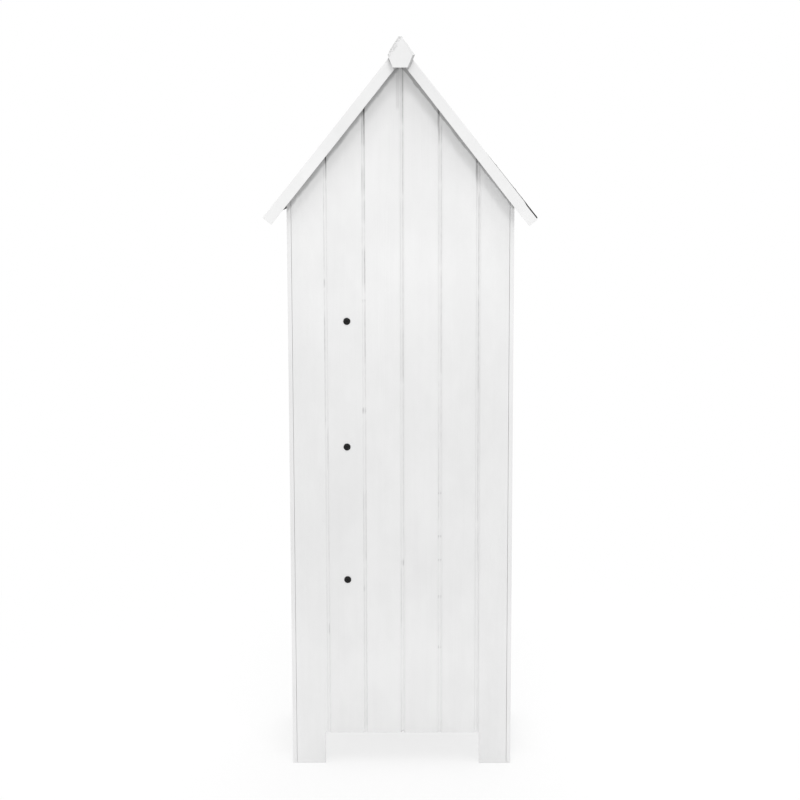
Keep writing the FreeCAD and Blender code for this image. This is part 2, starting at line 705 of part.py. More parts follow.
def turn_button():
    """Upright bar on the right-hand stile; turned level, it reaches over the door."""
    x = button_x()
    back = -OUTER_Y - BUTTON_STANDOFF
    front = back - BUTTON_THICKNESS
    half = BUTTON_WIDTH / 2
    straight = BUTTON_LENGTH / 2 - half
    bar = block(x - half, x + half, front, back, BUTTON_HEIGHT - straight, BUTTON_HEIGHT + straight)
    for level in (BUTTON_HEIGHT - straight, BUTTON_HEIGHT + straight):
        bar = bar.fuse(rod(FreeCAD.Vector(x, back, level), -BACK, half, BUTTON_THICKNESS))
    centre = FreeCAD.Vector(x, back, BUTTON_HEIGHT)
    bore = rod(centre, -BACK, BUTTON_SCREW_RADIUS + BUTTON_CLEARANCE, BUTTON_THICKNESS)
    return bar.removeSplitter().cut(bore)


def turn_button_screw():
    """Screw that the button turns on, with a washer between the button and the stile."""
    face = FreeCAD.Vector(button_x(), -OUTER_Y, BUTTON_HEIGHT)
    head_base = BUTTON_STANDOFF + BUTTON_THICKNESS + BUTTON_HEAD_GAP
    washer = rod(face, -BACK, BUTTON_HEAD_RADIUS, BUTTON_STANDOFF - BUTTON_HEAD_GAP)
    shank = rod(face + BACK * SCREW_BITE, -BACK, BUTTON_SCREW_RADIUS, SCREW_BITE + head_base)
    head = rod(face - BACK * head_base, -BACK, BUTTON_HEAD_RADIUS, BUTTON_HEAD_HEIGHT)
    return washer.fuse(shank).fuse(head).removeSplitter()


def sub_parts():
    """Every sub-part's shape under its name."""
    parts = {}
    parts.update(rear_boards())
    parts["rear_batten_lower"] = rear_lower_batten()
    parts["rear_batten_upper"] = rear_upper_batten()
    parts["right_side_boards"] = side_wall()
    parts["left_side_boards"] = mirrored(side_wall())
    parts["floor_bearers"] = floor_bearers()
    parts["wall_plates"] = wall_plates()
    parts["rear_right_post"] = rear_post()
    parts["rear_left_post"] = mirrored(rear_post())
    parts["front_right_post"] = front_post()
    parts["front_left_post"] = mirrored(front_post())
    parts["front_right_stile"] = right_stile()
    parts["front_left_stile"] = left_stile()
    parts["front_gable_boards"] = gable_boards()
    parts["front_header_batten"] = header_batten()
    parts["front_sill_board"] = sill_board()
    parts["front_sill_batten"] = sill_batten()
    parts["rear_rake_battens"] = rake_battens(REAR_POST_X, BATTEN_Y, INNER_Y)
    parts["front_rake_battens"] = rake_battens(FRONT_POST_X, -INNER_Y, -BATTEN_Y)
    parts["floor_boards"] = floor_slats()
    parts["divider_boards"] = divider()
    for name, height in SHELF_BOLT_HEIGHTS.items():
        parts["shelf_" + name] = shelf(height)
    parts["shelf_rails"] = shelf_rails()
    parts["shelf_rear_cleats"] = shelf_cleats()
    parts["shelf_bolts"] = shelf_bolts()
    parts["shelf_bolt_nuts"] = shelf_nuts()
    parts["roof_boards_right"] = roof_slope()
    parts["roof_boards_left"] = mirrored(roof_slope())
    parts["roof_felt"] = roof_felt()
    rear_barge = bargeboard(GABLE_Y, BARGE_Y)
    parts["rear_bargeboard_right"] = rear_barge
    parts["rear_bargeboard_left"] = mirrored(rear_barge)
    parts["front_bargeboard_left"] = turned_to_front(rear_barge)
    parts["front_bargeboard_right"] = turned_to_front(mirrored(rear_barge))
    parts["rear_finial"] = finial()
    parts["front_finial"] = turned_to_front(finial())
    parts.update(door_boards())
    for name, height in LEDGE_CENTRES.items():
        parts["door_ledge_" + name] = door_ledge(height)
    parts["door_ledge_screws"] = screws(ledge_screw_centres(), -BACK, LEDGE_THICKNESS + SCREW_BITE)
    parts["hinge_door_leaves"] = hinge_leaves(1)
    parts["hinge_frame_leaves"] = hinge_leaves(-1)
    parts["hinge_pins"] = hinge_pins()
    leaf_grip = LEAF_THICKNESS + SCREW_BITE
    parts["hinge_door_screws"] = screws(hinge_screw_centres(1), BACK, leaf_grip)
    parts["hinge_frame_screws"] = screws(hinge_screw_centres(-1), BACK, leaf_grip)
    parts["door_knob"] = door_knob()
    parts["turn_button"] = turn_button()
    parts["turn_button_screw"] = turn_button_screw()
    return parts


os.makedirs("parts", exist_ok=True)
for node, shape in sub_parts().items():
    shape.exportStep("parts/%s.step" % node)
    print(node, len(shape.Solids), "valid" if shape.isValid() else "NOT VALID")
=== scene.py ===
import json
import math
import random

import bmesh
import bpy
from mathutils import Matrix, Vector, noise

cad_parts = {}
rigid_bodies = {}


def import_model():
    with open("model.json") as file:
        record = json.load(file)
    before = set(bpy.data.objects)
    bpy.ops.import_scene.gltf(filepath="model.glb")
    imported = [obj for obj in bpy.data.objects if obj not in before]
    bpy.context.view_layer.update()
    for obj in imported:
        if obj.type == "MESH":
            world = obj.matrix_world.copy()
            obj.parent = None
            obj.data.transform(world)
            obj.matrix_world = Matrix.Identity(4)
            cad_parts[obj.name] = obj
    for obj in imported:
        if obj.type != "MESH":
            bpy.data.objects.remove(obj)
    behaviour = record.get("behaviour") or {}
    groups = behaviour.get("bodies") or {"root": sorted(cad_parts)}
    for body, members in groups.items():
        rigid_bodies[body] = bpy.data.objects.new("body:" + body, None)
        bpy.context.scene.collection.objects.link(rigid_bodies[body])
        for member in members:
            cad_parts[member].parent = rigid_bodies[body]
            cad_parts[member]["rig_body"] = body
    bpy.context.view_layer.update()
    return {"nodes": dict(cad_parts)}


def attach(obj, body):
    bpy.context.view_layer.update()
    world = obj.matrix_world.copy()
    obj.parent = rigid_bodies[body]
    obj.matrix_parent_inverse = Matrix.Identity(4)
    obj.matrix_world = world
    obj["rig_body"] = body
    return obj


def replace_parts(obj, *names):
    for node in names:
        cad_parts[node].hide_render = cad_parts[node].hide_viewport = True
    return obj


# A white painted garden storage cabinet, seen from behind as in the photograph.
# Metres, +Z up. The photographed rear wall faces +Y, the door faces -Y.

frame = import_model()

# Sizes of the cabinet that the finishes need
WALL_Y = 0.230
WALL_X = 0.2725
BOARD_COVER = 0.092
MIDDLE_JOINT = -0.0034
PITCH = math.radians(51.3)
SIN = math.sin(PITCH)
COS = math.cos(PITCH)
TAN = math.tan(PITCH)
RIDGE = 1.781
EAVE_RUN = 0.3265 / COS
GABLE_Y = 0.258
BARGEBOARD_WIDTH = 0.029
FINIAL_TOP = 1.795
FINIAL_SIDE = 1.752
FINIAL_HALF = 0.030
FINIAL_FOOT = 1.724
FINIAL_FOOT_HALF = 0.0155

# Runs down the -X slope between which the edges of the bargeboard and the felt step out at the rear
STEP_START = 0.474
STEP_END = 0.486

# Material slots
WOOD = "white_painted_wood"
INNER = "white_painted_inner_wood"


def smooth(value, low, high):
    """Rises smoothly from 0 to 1 between two values, given in either order."""
    share = min(max((value - low) / (high - low), 0.0), 1.0)
    return share * share * (3 - 2 * share)


def on_roof(side, run, depth):
    """X and Z of a point down a slope from the ridge and below the bargeboards' upper edges."""
    return side * (run * COS - depth * SIN), RIDGE - run * SIN - depth * COS


# Making pieces


def finished(name, form, material, body="cabinet"):
    """Turns a form into a smooth piece that rides a body."""
    for face in form.faces:
        face.smooth = True
    data = bpy.data.meshes.new(name)
    form.to_mesh(data)
    form.free()
    data.materials.append(material)
    piece = bpy.data.objects.new(name, data)
    bpy.context.scene.collection.objects.link(piece)
    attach(piece, body)
    return piece


def face_towards(form, direction):
    """Turns all faces of an open sheet over if most of them look away from a direction."""
    form.normal_update()
    if sum(face.calc_area() * face.normal.dot(direction) for face in form.faces) < 0:
        bmesh.ops.reverse_faces(form, faces=form.faces)


def bridge(form, rows, closed=False):
    """Fills the space between neighbouring rows of vertices with faces."""
    for first, second in zip(rows, rows[1:]):
        size = len(first)
        for k in range(size if closed else size - 1):
            form.faces.new((first[k], second[k], second[(k + 1) % size], first[(k + 1) % size]))


# Node helpers


class Nodes:
    """Short calls for building a material's node tree."""

    def __init__(self, name):
        self.material = bpy.data.materials.new(name)
        self.material.use_nodes = True
        self.tree = self.material.node_tree
        self.tree.nodes.clear()
        self.shader = self.add("ShaderNodeBsdfPrincipled")
        self.surface = self.add("ShaderNodeOutputMaterial").inputs["Surface"]
        self.link(self.shader.outputs[0], self.surface)
        self.place = self.add("ShaderNodeTexCoord").outputs["Object"]

    def add(self, kind, **settings):
        node = self.tree.nodes.new(kind)
        for key, value in settings.items():
            setattr(node, key, value)
        return node

    def link(self, source, target):
        self.tree.links.new(source, target)

    def put(self, target, value):
        """Links a socket, or sets a constant on it."""
        if isinstance(value, bpy.types.NodeSocket):
            self.link(value, target)
        else:
            target.default_value = value

    def math(self, operation, first, second=0.0, third=0.0):
        node = self.add("ShaderNodeMath", operation=operation)
        for socket, value in zip(node.inputs, (first, second, third)):
            self.put(socket, value)
        return node.outputs[0]

    def times(self, first, second):
        return self.math("MULTIPLY", first, second)

    def minus(self, first, second):
        return self.math("SUBTRACT", first, second)

    def absolute(self, value):
        return self.math("ABSOLUTE", value)

    def darker(self, tone, share, strength=1.0):
        """A tone that has lost this strength where the share is 1."""
        return self.times(tone, self.math("MULTIPLY_ADD", share, -strength, 1.0))

    def mapped(self, turn=(0, 0, 0), stretch=(1, 1, 1), shift=(0, 0, 0)):
        """Object coordinates turned first, then stretched."""
        node = self.add("ShaderNodeMapping", vector_type="POINT")
        self.link(self.place, node.inputs["Vector"])
        node.inputs["Rotation"].default_value = turn
        scale = self.add("ShaderNodeVectorMath", operation="MULTIPLY_ADD")
        self.link(node.outputs[0], scale.inputs[0])
        scale.inputs[1].default_value = stretch
        scale.inputs[2].default_value = shift
        return scale.outputs[0]

    def noise(self, vector, scale, detail, rough=0.5, distort=0.0):
        node = self.add("ShaderNodeTexNoise", noise_dimensions="3D")
        self.link(vector, node.inputs["Vector"])
        node.inputs["Scale"].default_value = scale
        node.inputs["Detail"].default_value = detail
        node.inputs["Roughness"].default_value = rough
        node.inputs["Distortion"].default_value = distort
        return node.outputs[0]

    def ranged(self, value, low, high, to_low=0.0, to_high=1.0, smooth=True):
        """Maps the range from low to high onto another, and holds its ends outside it."""
        node = self.add("ShaderNodeMapRange")
        node.interpolation_type = "SMOOTHSTEP" if smooth else "LINEAR"
        self.put(node.inputs["Value"], value)
        node.inputs["From Min"].default_value = low
        node.inputs["From Max"].default_value = high
        node.inputs["To Min"].default_value = to_low
        node.inputs["To Max"].default_value = to_high
        return node.outputs[0]

    def axis(self, letter):
        node = self.add("ShaderNodeSeparateXYZ")
        self.link(self.place, node.inputs[0])
        return node.outputs["XYZ".index(letter)]

    def bump(self, height, distance, strength, normal=None):
        node = self.add("ShaderNodeBump")
        node.inputs["Strength"].default_value = strength
        node.inputs["Distance"].default_value = distance
        self.link(height, node.inputs["Height"])
        if normal is not None:
            self.link(normal, node.inputs["Normal"])
        return node.outputs[0]

    def grey(self, value):
        """A grey colour from a number socket."""
        node = self.add("ShaderNodeCombineColor")
        for socket in node.inputs[:3]:
            self.link(value, socket)
        return node.outputs[0]


# White paint, whose dirt and painted shade are placed by object coordinates, which are the cabinet's own

# Turns that bring the wood's grain along Z
UPRIGHT = (0, 0, 0)
ACROSS = (0, math.pi / 2, 0)
DEEP = (math.pi / 2, 0, 0)
DOWN_RIGHT_SLOPE = (0, PITCH - math.pi / 2, 0)
DOWN_LEFT_SLOPE = (0, math.pi / 2 - PITCH, 0)

# Grey runs of dirt beside the tops of three rear joints: X from and to, the height at which they start
# and at which they are full, and their strength
GREY_RUNS = [
    (0.0023, 0.0101, 1.618, 1.634, 0.12),
    (-0.1850, -0.1797, 1.438, 1.476, 0.32),
    (-0.0930, -0.0880, 1.568, 1.600, 0.22),
]
RUN_BLUR = 0.0005

# Painted light and shade by height on the rear and side walls and on the bargeboards: Z from and to, the
# tone at each
WALL_PAINTED_SHADING = [(0.96, 1.32, 0.945, 0.990), (0.20, 0.62, 1.048, 1.0), (1.42, 1.56, 1.0, 0.978)]
SLOPE_PAINTED_SHADING = (1.42, 1.70, 1.075, 1.0)

# Depths below a wall's face at which the dirt and painted shade in its V joints starts, is full and ends
JOINT_DIRT_AND_SHADE_START = 0.0006
JOINT_DIRT_AND_SHADE_FULL = 0.0034
JOINT_DIRT_AND_SHADE_END = 0.0040

# The band of painted shade under the bargeboards: how far below them it starts, how uneven that is, its
# width on the -X and the +X side and its darkest tone
SHADE_BAND_START = 0.0042
SHADE_BAND_UNEVEN = 0.0010
SHADE_BAND_WIDTHS = (0.0028, 0.0075)
SHADE_BAND_TONE = 0.60

# The breath of painted shade beside joints: where it starts to fade and ends, off a joint's middle, and its
# strength
BREATH_FADES = (0.0045, 0.0095)
BREATH_SHADE = 0.04

# The painted shade along the finial's lower edges: how far off them it starts on the -X side, where the
# worn finial stands further out, and on the +X side, its width and its darkest tone
EDGE_SHADE_STARTS = (0.0052, 0.0006)
EDGE_SHADE_WIDTH = 0.0034
EDGE_SHADE_TONE = 0.62

# The worn band on the finial: how ragged it is, where it starts to fade and ends, off the edge, and the
# most dirt in it; then the painted shade on the up-facing bevels and on the lower -X side
WORN_RAGGED = 0.003
WORN_FADES = (0.0055, 0.0095)
WORN_DIRT = 0.24
BEVEL_SHADE_TONE = 0.93
LOWER_SIDE_SHADE = 0.34


def dirt_and_shade_in_joints(n, turn, letter, sign, face):
    """Share of dirt and painted shade in a wall's V joints, by depth below the face, where sign times X or
    Y is face.
    """
    depth = n.minus(face, n.times(n.axis(letter), sign))
    deep = n.ranged(depth, JOINT_DIRT_AND_SHADE_START, JOINT_DIRT_AND_SHADE_FULL)
    in_joint = n.ranged(depth, JOINT_DIRT_AND_SHADE_END + 0.0002, JOINT_DIRT_AND_SHADE_END)
    if letter == "X":
        # The side boards' own ends show on the rear wall and hold no dirt or painted shade
        inside = n.ranged(n.absolute(n.axis("Y")), WALL_Y - 0.0012, WALL_Y - 0.0004, 1.0, 0.0)
        in_joint = n.times(in_joint, inside)
    broken = n.noise(n.mapped(turn, (30, 30, 9)), 1.0, 2.0, 0.6)
    return n.times(n.times(deep, in_joint), n.ranged(broken, 0.38, 0.60, 0.25, 1.0))


def painted_shade_under_bargeboards(n, tone):
    """Painted shade in an uneven band that starts close under the bargeboards and is wider on the +X side.
    """
    below = n.minus(n.times(n.minus(RIDGE, n.axis("Z")), COS), n.times(n.absolute(n.axis("X")), SIN))
    uneven = n.ranged(n.noise(n.mapped(), 38.0, 3.0, 0.6), 0.3, 0.7, -SHADE_BAND_UNEVEN, SHADE_BAND_UNEVEN)
    band = n.minus(n.math("ADD", below, uneven), BARGEBOARD_WIDTH + SHADE_BAND_START)
    width = n.ranged(n.axis("X"), -0.02, 0.02, *SHADE_BAND_WIDTHS)
    return n.times(tone, n.ranged(n.math("DIVIDE", band, width), 0.0, 1.0, SHADE_BAND_TONE, 1.0))


def beside_joints(n, tone):
    """A breath of painted shade on both sides of the middle and -X joints, and the grey runs of dirt."""
    from_middle = n.minus(n.axis("X"), MIDDLE_JOINT)
    row = n.math("FRACT", n.math("ADD", n.math("DIVIDE", from_middle, BOARD_COVER), 0.5))
    apart = n.times(n.absolute(n.minus(row, 0.5)), BOARD_COVER)
    joint_side_shade = n.ranged(apart, *BREATH_FADES, BREATH_SHADE, 0.0)
    tone = n.darker(tone, n.times(joint_side_shade, n.ranged(n.axis("X"), 0.02, 0.06, 1.0, 0.0)))
    for low, high, foot, head, strength in GREY_RUNS:
        run = n.times(n.ranged(n.axis("X"), low - RUN_BLUR, low + RUN_BLUR),
                      n.ranged(n.axis("X"), high + RUN_BLUR, high - RUN_BLUR))
        tone = n.darker(tone, n.times(run, n.ranged(n.axis("Z"), foot, head)), strength)
    return tone


def painted_shade_by_finial(n, tone):
    """Painted shade on a bargeboard along the finial's lower edges, and painted light and shade by height.
    """
    drop = FINIAL_SIDE - FINIAL_FOOT
    shift = FINIAL_HALF - FINIAL_FOOT_HALF
    edge = math.hypot(drop, shift)
    outward = n.times(n.minus(n.absolute(n.axis("X")), FINIAL_HALF), drop / edge)
    above = n.times(n.minus(n.axis("Z"), FINIAL_SIDE), shift / edge)
    start = n.ranged(n.axis("X"), -0.01, 0.01, *EDGE_SHADE_STARTS)
    near = n.minus(n.minus(outward, above), start)
    tone = n.times(tone, n.ranged(near, 0.0, EDGE_SHADE_WIDTH, EDGE_SHADE_TONE, 1.0))
    # Painted light and shade: the bargeboards' tone changes with height
    return n.times(tone, n.ranged(n.axis("Z"), *SLOPE_PAINTED_SHADING, False))


def worn_and_shaded_finial(n, tone):
    """A worn band along the finial's upper +X edge, and painted shade on its up-facing bevels and its lower
    -X side.
    """
    drop = FINIAL_TOP - FINIAL_SIDE
    edge = math.hypot(drop, FINIAL_HALF)
    below = n.times(n.minus(FINIAL_TOP, n.axis("Z")), FINIAL_HALF / edge)
    inward = n.minus(below, n.times(n.axis("X"), drop / edge))
    ragged = n.ranged(n.noise(n.mapped(), 210.0, 3.0, 0.7), 0.3, 0.7, -WORN_RAGGED, WORN_RAGGED)
    band = n.ranged(n.math("ADD", inward, ragged), *WORN_FADES, 1.0, 0.0)
    flakes = n.ranged(n.noise(n.mapped(), 300.0, 2.0, 0.6), 0.40, 0.60, 0.0, WORN_DIRT)
    tone = n.darker(tone, n.times(band, flakes))
    facing = n.add("ShaderNodeSeparateXYZ")
    n.link(n.add("ShaderNodeNewGeometry").outputs["True Normal"], facing.inputs[0])
    # Painted shade on the faces that look up
    tone = n.times(tone, n.ranged(facing.outputs["Z"], 0.08, 0.24, 1.0, BEVEL_SHADE_TONE))
    # Painted shade on the faces that look down towards -X
    slant = n.times(n.ranged(facing.outputs["X"], -0.10, -0.45), n.ranged(facing.outputs["Z"], -0.05, -0.2))
    return n.darker(tone, slant, LOWER_SIDE_SHADE)


def painted(name, level, turn=UPRIGHT, wall=None, dirt_and_shade_on=None):
    """White paint on wood whose grain runs along Z once turned.

    wall is (axis letter, sign, face) of a wall of boards, which differ in tone and have V joints that
    hold a little dirt and painted shade. The last argument says what else darkens the paint: "wall" painted
    shade close under the bargeboards and beside the joints and painted light and shade by height, "joint"
    painted shade under the bargeboards, painted light and shade by height and the mesh's own marks of dirt
    and painted shade, "slope" painted shade close to the finial and painted light and shade by height,
    "finial" its worn edge and painted shade on its bevels and lower side.
    """
    n = Nodes(name)
    streak = n.noise(n.mapped(turn, (75, 75, 2.6)), 1.0, 3.0, 0.55, 0.6)
    pores = n.noise(n.mapped(turn, (420, 420, 9)), 1.0, 2.0, 0.5)
    brush = n.noise(n.mapped(turn, (700, 700, 14)), 1.0, 2.0, 0.6)
    peel = n.noise(n.mapped(), 900.0, 1.0)
    cloud = n.noise(n.mapped(turn, (1, 1, 0.6)), 7.0, 3.0, 0.55)
    patch = n.noise(n.mapped(turn, (1, 1, 0.5), (3.1, 1.7, 0.4)), 19.0, 2.0, 0.5)
    tone = n.ranged(cloud, 0.35, 0.65, level * 0.985, level * 1.015)
    tone = n.times(tone, n.ranged(patch, 0.36, 0.64, 0.988, 1.006))
    tone = n.times(tone, n.ranged(streak, 0.42, 0.62, 1.0, 0.992))
    if wall:
        letter, sign, face = wall
        across = n.axis("X" if letter == "Y" else "Y")
        pick = n.add("ShaderNodeTexWhiteNoise", noise_dimensions="1D")
        n.link(n.math("FLOOR", n.math("DIVIDE", across, BOARD_COVER)), pick.inputs["W"])
        tone = n.times(tone, n.ranged(pick.outputs[0], 0, 1, 0.99, 1.006, False))
        # Dirt and painted shade in the V joints
        tone = n.darker(tone, dirt_and_shade_in_joints(n, turn, letter, sign, face), 0.16)
    if dirt_and_shade_on in ("wall", "joint"):
        # Painted shade close under the bargeboards
        tone = painted_shade_under_bargeboards(n, tone)
        if dirt_and_shade_on == "wall":
            tone = beside_joints(n, tone)
        # Painted light and shade: the walls' tone changes with height
        for low, high, tone_low, tone_high in WALL_PAINTED_SHADING:
            tone = n.times(tone, n.ranged(n.axis("Z"), low, high, tone_low, tone_high))
    if dirt_and_shade_on == "joint":
        # The filler's marks: dirt and painted shade
        tone = n.darker(tone, n.add("ShaderNodeAttribute", attribute_name="mark").outputs["Fac"])
    if dirt_and_shade_on == "slope":
        # Painted shade along the finial and painted light and shade by height
        tone = painted_shade_by_finial(n, tone)
    if dirt_and_shade_on == "finial":
        # Wear and painted shade on the finial
        tone = worn_and_shaded_finial(n, tone)
    n.link(n.grey(tone), n.shader.inputs["Base Color"])
    n.link(n.ranged(cloud, 0.3, 0.7, 0.40, 0.52), n.shader.inputs["Roughness"])
    n.shader.inputs["Specular IOR Level"].default_value = 0.4
    height = n.bump(streak, 0.00045, 0.6)
    height = n.bump(pores, 0.00020, 0.6, height)
    height = n.bump(brush, 0.00012, 0.6, height)
    height = n.bump(peel, 0.00003, 0.4, height)
    n.link(height, n.shader.inputs["Normal"])
    return n.material


# Felt and metal


def felt(name):
    """Dark bitumen felt with mineral grit."""
    n = Nodes(name)
    grit = n.add("ShaderNodeTexVoronoi", feature="F1")
    n.link(n.mapped(), grit.inputs["Vector"])
    grit.inputs["Scale"].default_value = 620.0
    pick = n.add("ShaderNodeSeparateColor")
    n.link(grit.outputs["Color"], pick.inputs[0])
    speck = n.ranged(pick.outputs[0], 0.45, 1.0, 0.045, 0.17, False)
    cloud = n.noise(n.mapped(), 9.0, 3.0, 0.6)
    tone = n.times(speck, n.ranged(cloud, 0.3, 0.7, 0.75, 1.2))
    n.link(n.grey(tone), n.shader.inputs["Base Color"])
    n.shader.inputs["Roughness"].default_value = 0.92
    n.shader.inputs["Specular IOR Level"].default_value = 0.3
    height = n.bump(grit.outputs["Distance"], 0.0006, 0.8)
    height = n.bump(cloud, 0.004, 0.4, height)
    n.link(height, n.shader.inputs["Normal"])
    return n.material


def coated(name, level, gloss, rough):
    """Black coating on metal, satin and slightly orange-peeled."""
    n = Nodes(name)
    cloud = n.noise(n.mapped(), 60.0, 3.0, 0.6)
    peel = n.noise(n.mapped(), 1600.0, 1.0)
    n.link(n.grey(n.ranged(cloud, 0.3, 0.7, level * 0.8, level * 1.3)), n.shader.inputs["Base Color"])
    n.link(n.ranged(cloud, 0.3, 0.7, rough - 0.06, rough + 0.06), n.shader.inputs["Roughness"])
    n.shader.inputs["Specular IOR Level"].default_value = gloss
    n.link(n.bump(peel, 0.00004, 0.5), n.shader.inputs["Normal"])
    return n.material


def zinc(name, level, rough):
    """Zinc plated or galvanised steel."""
    n = Nodes(name)
    cloud = n.noise(n.mapped(), 90.0, 3.0, 0.6)
    scratch = n.noise(n.mapped((0, 0, 0.6), (3000, 60, 3000)), 1.0, 1.0)
    n.link(n.grey(n.ranged(cloud, 0.3, 0.7, level * 0.87, level * 1.13)), n.shader.inputs["Base Color"])
    n.shader.inputs["Metallic"].default_value = 1.0
    n.link(n.ranged(scratch, 0.3, 0.7, rough - 0.07, rough + 0.07), n.shader.inputs["Roughness"])
    n.link(n.bump(scratch, 0.00001, 0.5), n.shader.inputs["Normal"])
    return n.material


# How light the paint is, and how much darker the same paint is made on the finial and the bargeboards,
# as painted shade that evens out the stronger light they catch
PAINT = 0.835
FINIAL_SHADED_PAINT = PAINT * 0.92
RIGHT_SLOPE_SHADED_PAINT = PAINT * 0.925
LEFT_SLOPE_SHADED_PAINT = PAINT * 0.915

paint_rear = painted("paint_rear_wall", PAINT, UPRIGHT, ("Y", 1.0, WALL_Y), "wall")
paint_filler = painted("paint_in_joints", PAINT, UPRIGHT, dirt_and_shade_on="joint")
paint_finial = painted("paint_finial", FINIAL_SHADED_PAINT, UPRIGHT, dirt_and_shade_on="finial")
paint_front = painted("paint_front_wall", PAINT, UPRIGHT, ("Y", -1.0, WALL_Y))
paint_side_right = painted("paint_side_right", PAINT, UPRIGHT, ("X", 1.0, WALL_X), "wall")
paint_side_left = painted("paint_side_left", PAINT, UPRIGHT, ("X", -1.0, WALL_X), "wall")
paint_upright = painted("paint_upright", PAINT, UPRIGHT)
paint_across = painted("paint_across", PAINT, ACROSS)
paint_deep = painted("paint_deep", PAINT, DEEP)
paint_slope_right = painted("paint_slope_right", RIGHT_SLOPE_SHADED_PAINT, DOWN_RIGHT_SLOPE, dirt_and_shade_on="slope")
paint_slope_left = painted("paint_slope_left", LEFT_SLOPE_SHADED_PAINT, DOWN_LEFT_SLOPE, dirt_and_shade_on="slope")
felt_grit = felt("roofing_felt_grit")
black_coat = coated("black_coat", 0.014, 0.4, 0.36)
bolt_coat = coated("bolt_coat", 0.010, 0.16, 0.44)
plated = zinc("zinc_plate", 0.52, 0.35)
galvanised = zinc("galvanised_steel", 0.34, 0.55)


# Wooden pieces with rounded edges, made over from the cabinet's own solids

# Distance at which points count as one, and the angles between faces that count as flat and as an edge
TOUCHING = 1e-6
FLAT_ANGLE = math.radians(0.5)
EDGE_ANGLE = math.radians(30)
# How far from its eave end a bargeboard's end reaches, and how close to X = 0 its top end is
END_REACH = 0.006
TOP_REACH = 1e-5
# How much is taken off edges, and the shortest edges that are rounded
WOOD_ROUNDED = 0.0007
METAL_ROUNDED = 0.0003
SCREW_ROUNDED = 0.0002
WOOD_SHORTEST = 0.003
METAL_SHORTEST = 0.0003


def worked(node, material, bevel=WOOD_ROUNDED, shortest=WOOD_SHORTEST, reshape=None):
    """Copies a node's form into a clean mesh, reshapes it if asked and rounds its edges."""
    source = frame["nodes"][node]
    form = bmesh.new()
    form.from_mesh(source.data)
    bmesh.ops.remove_doubles(form, verts=form.verts, dist=TOUCHING)
    bmesh.ops.dissolve_limit(form, angle_limit=FLAT_ANGLE, verts=form.verts, edges=form.edges)
    if reshape:
        reshape(form)
    sharp = []
    for edge in form.edges:
        if len(edge.link_faces) == 2 and edge.calc_length() > shortest:
            if edge.calc_face_angle(0) > EDGE_ANGLE:
                sharp.append(edge)
    bmesh.ops.bevel(form, geom=sharp, offset=bevel, offset_type="OFFSET", segments=2, profile=0.6,
                    affect="EDGES", clamp_overlap=True)
    piece = finished(node + "_worked", form, material, source["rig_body"])
    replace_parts(piece, node)
    shade = piece.modifiers.new("even_faces", "WEIGHTED_NORMAL")
    shade.keep_sharp = True
    shade.weight = 90
    return piece


def cut_across(form, place, normal, **ways):
    """Cuts through a whole form along a plane."""
    parts = form.verts[:] + form.edges[:] + form.faces[:]
    return bmesh.ops.bisect_plane(form, geom=parts, dist=TOUCHING, plane_co=place, plane_no=normal, **ways)


def board_edges(side, upper, lower, longer=0.0):
    """Reshapes a bargeboard: lists of (run, depth) give the lines of its upper and lower edges.

    longer says how far its end at the eave moves down the slope.
    """

    def along(line, run):
        for (run0, depth0), (run1, depth1) in zip(line, line[1:]):
            if run <= run1:
                return depth0 + (depth1 - depth0) * smooth(run, run0, run1)
        return line[-1][1]

    def reshape(form):
        down = Vector((side * COS, 0, -SIN))
        for run, _ in sorted(upper[1:-1] + lower[1:-1]):
            x, z = on_roof(side, run, 0)
            cut_across(form, (x, 0, z), down)
        for vert in form.verts:
            across = vert.co.x * side
            drop = RIDGE - vert.co.z
            run = across * COS + drop * SIN
            depth = drop * COS - across * SIN
            new_depth = along(lower if depth > BARGEBOARD_WIDTH / 2 else upper, run)
            if run > EAVE_RUN - END_REACH:
                run += longer
            if abs(vert.co.x) < TOP_REACH:
                vert.co.z = RIDGE - new_depth / COS
            else:
                vert.co.x, vert.co.z = on_roof(side, run, new_depth)

    return reshape


# Run past the end of every bargeboard, where the lists of their edges end
PAST_EAVE = 0.53

right_rear_edges = board_edges(
    1, [(0.0, 0.0016), (0.28, 0.0015), (0.50, 0.0006), (PAST_EAVE, 0.0006)],
    [(0.0, 0.0288), (0.26, 0.0286), (0.50, 0.0273), (PAST_EAVE, 0.0273)], 0.0022)
left_rear_edges = board_edges(
    -1, [(0.0, 0.0013), (0.30, 0.0014), (0.345, 0.0026), (0.42, 0.0031), (STEP_START, 0.0033),
         (STEP_END, 0.0053), (PAST_EAVE, 0.0053)],
    [(0.0, 0.0262), (0.12, 0.0266), (0.30, 0.0284), (0.44, 0.0300), (0.48, 0.0303), (PAST_EAVE, 0.0300)],
    0.005)
left_front_edges = board_edges(
    -1, [(0.0, 0.0026), (PAST_EAVE, 0.0026)], [(0.0, BARGEBOARD_WIDTH), (PAST_EAVE, BARGEBOARD_WIDTH)])

# How far the worn finial's outline stands off a true kite, by height: towards +X, towards -X at its face
# and towards -X at its back, which is where Y is less than FINIAL_BACK. Its middle line stays.
FINIAL_WEAR = [
    (FINIAL_FOOT, 0.0019, 0.0024, 0.0075),
    (FINIAL_SIDE, -0.0012, 0.0005, 0.0056),
    (1.7670, 0.0024, 0.0047, 0.0047),
    (1.7840, 0.0024, 0.0038, 0.0038),
    (1.7935, 0.0022, 0.0038, 0.0038),
]
FINIAL_BACK = 0.281
FINIAL_MIDDLE = 0.0003
TIP_RISE = 0.0012
FOOT_DROP = 0.0016
FOOT_HEIGHT = 0.016


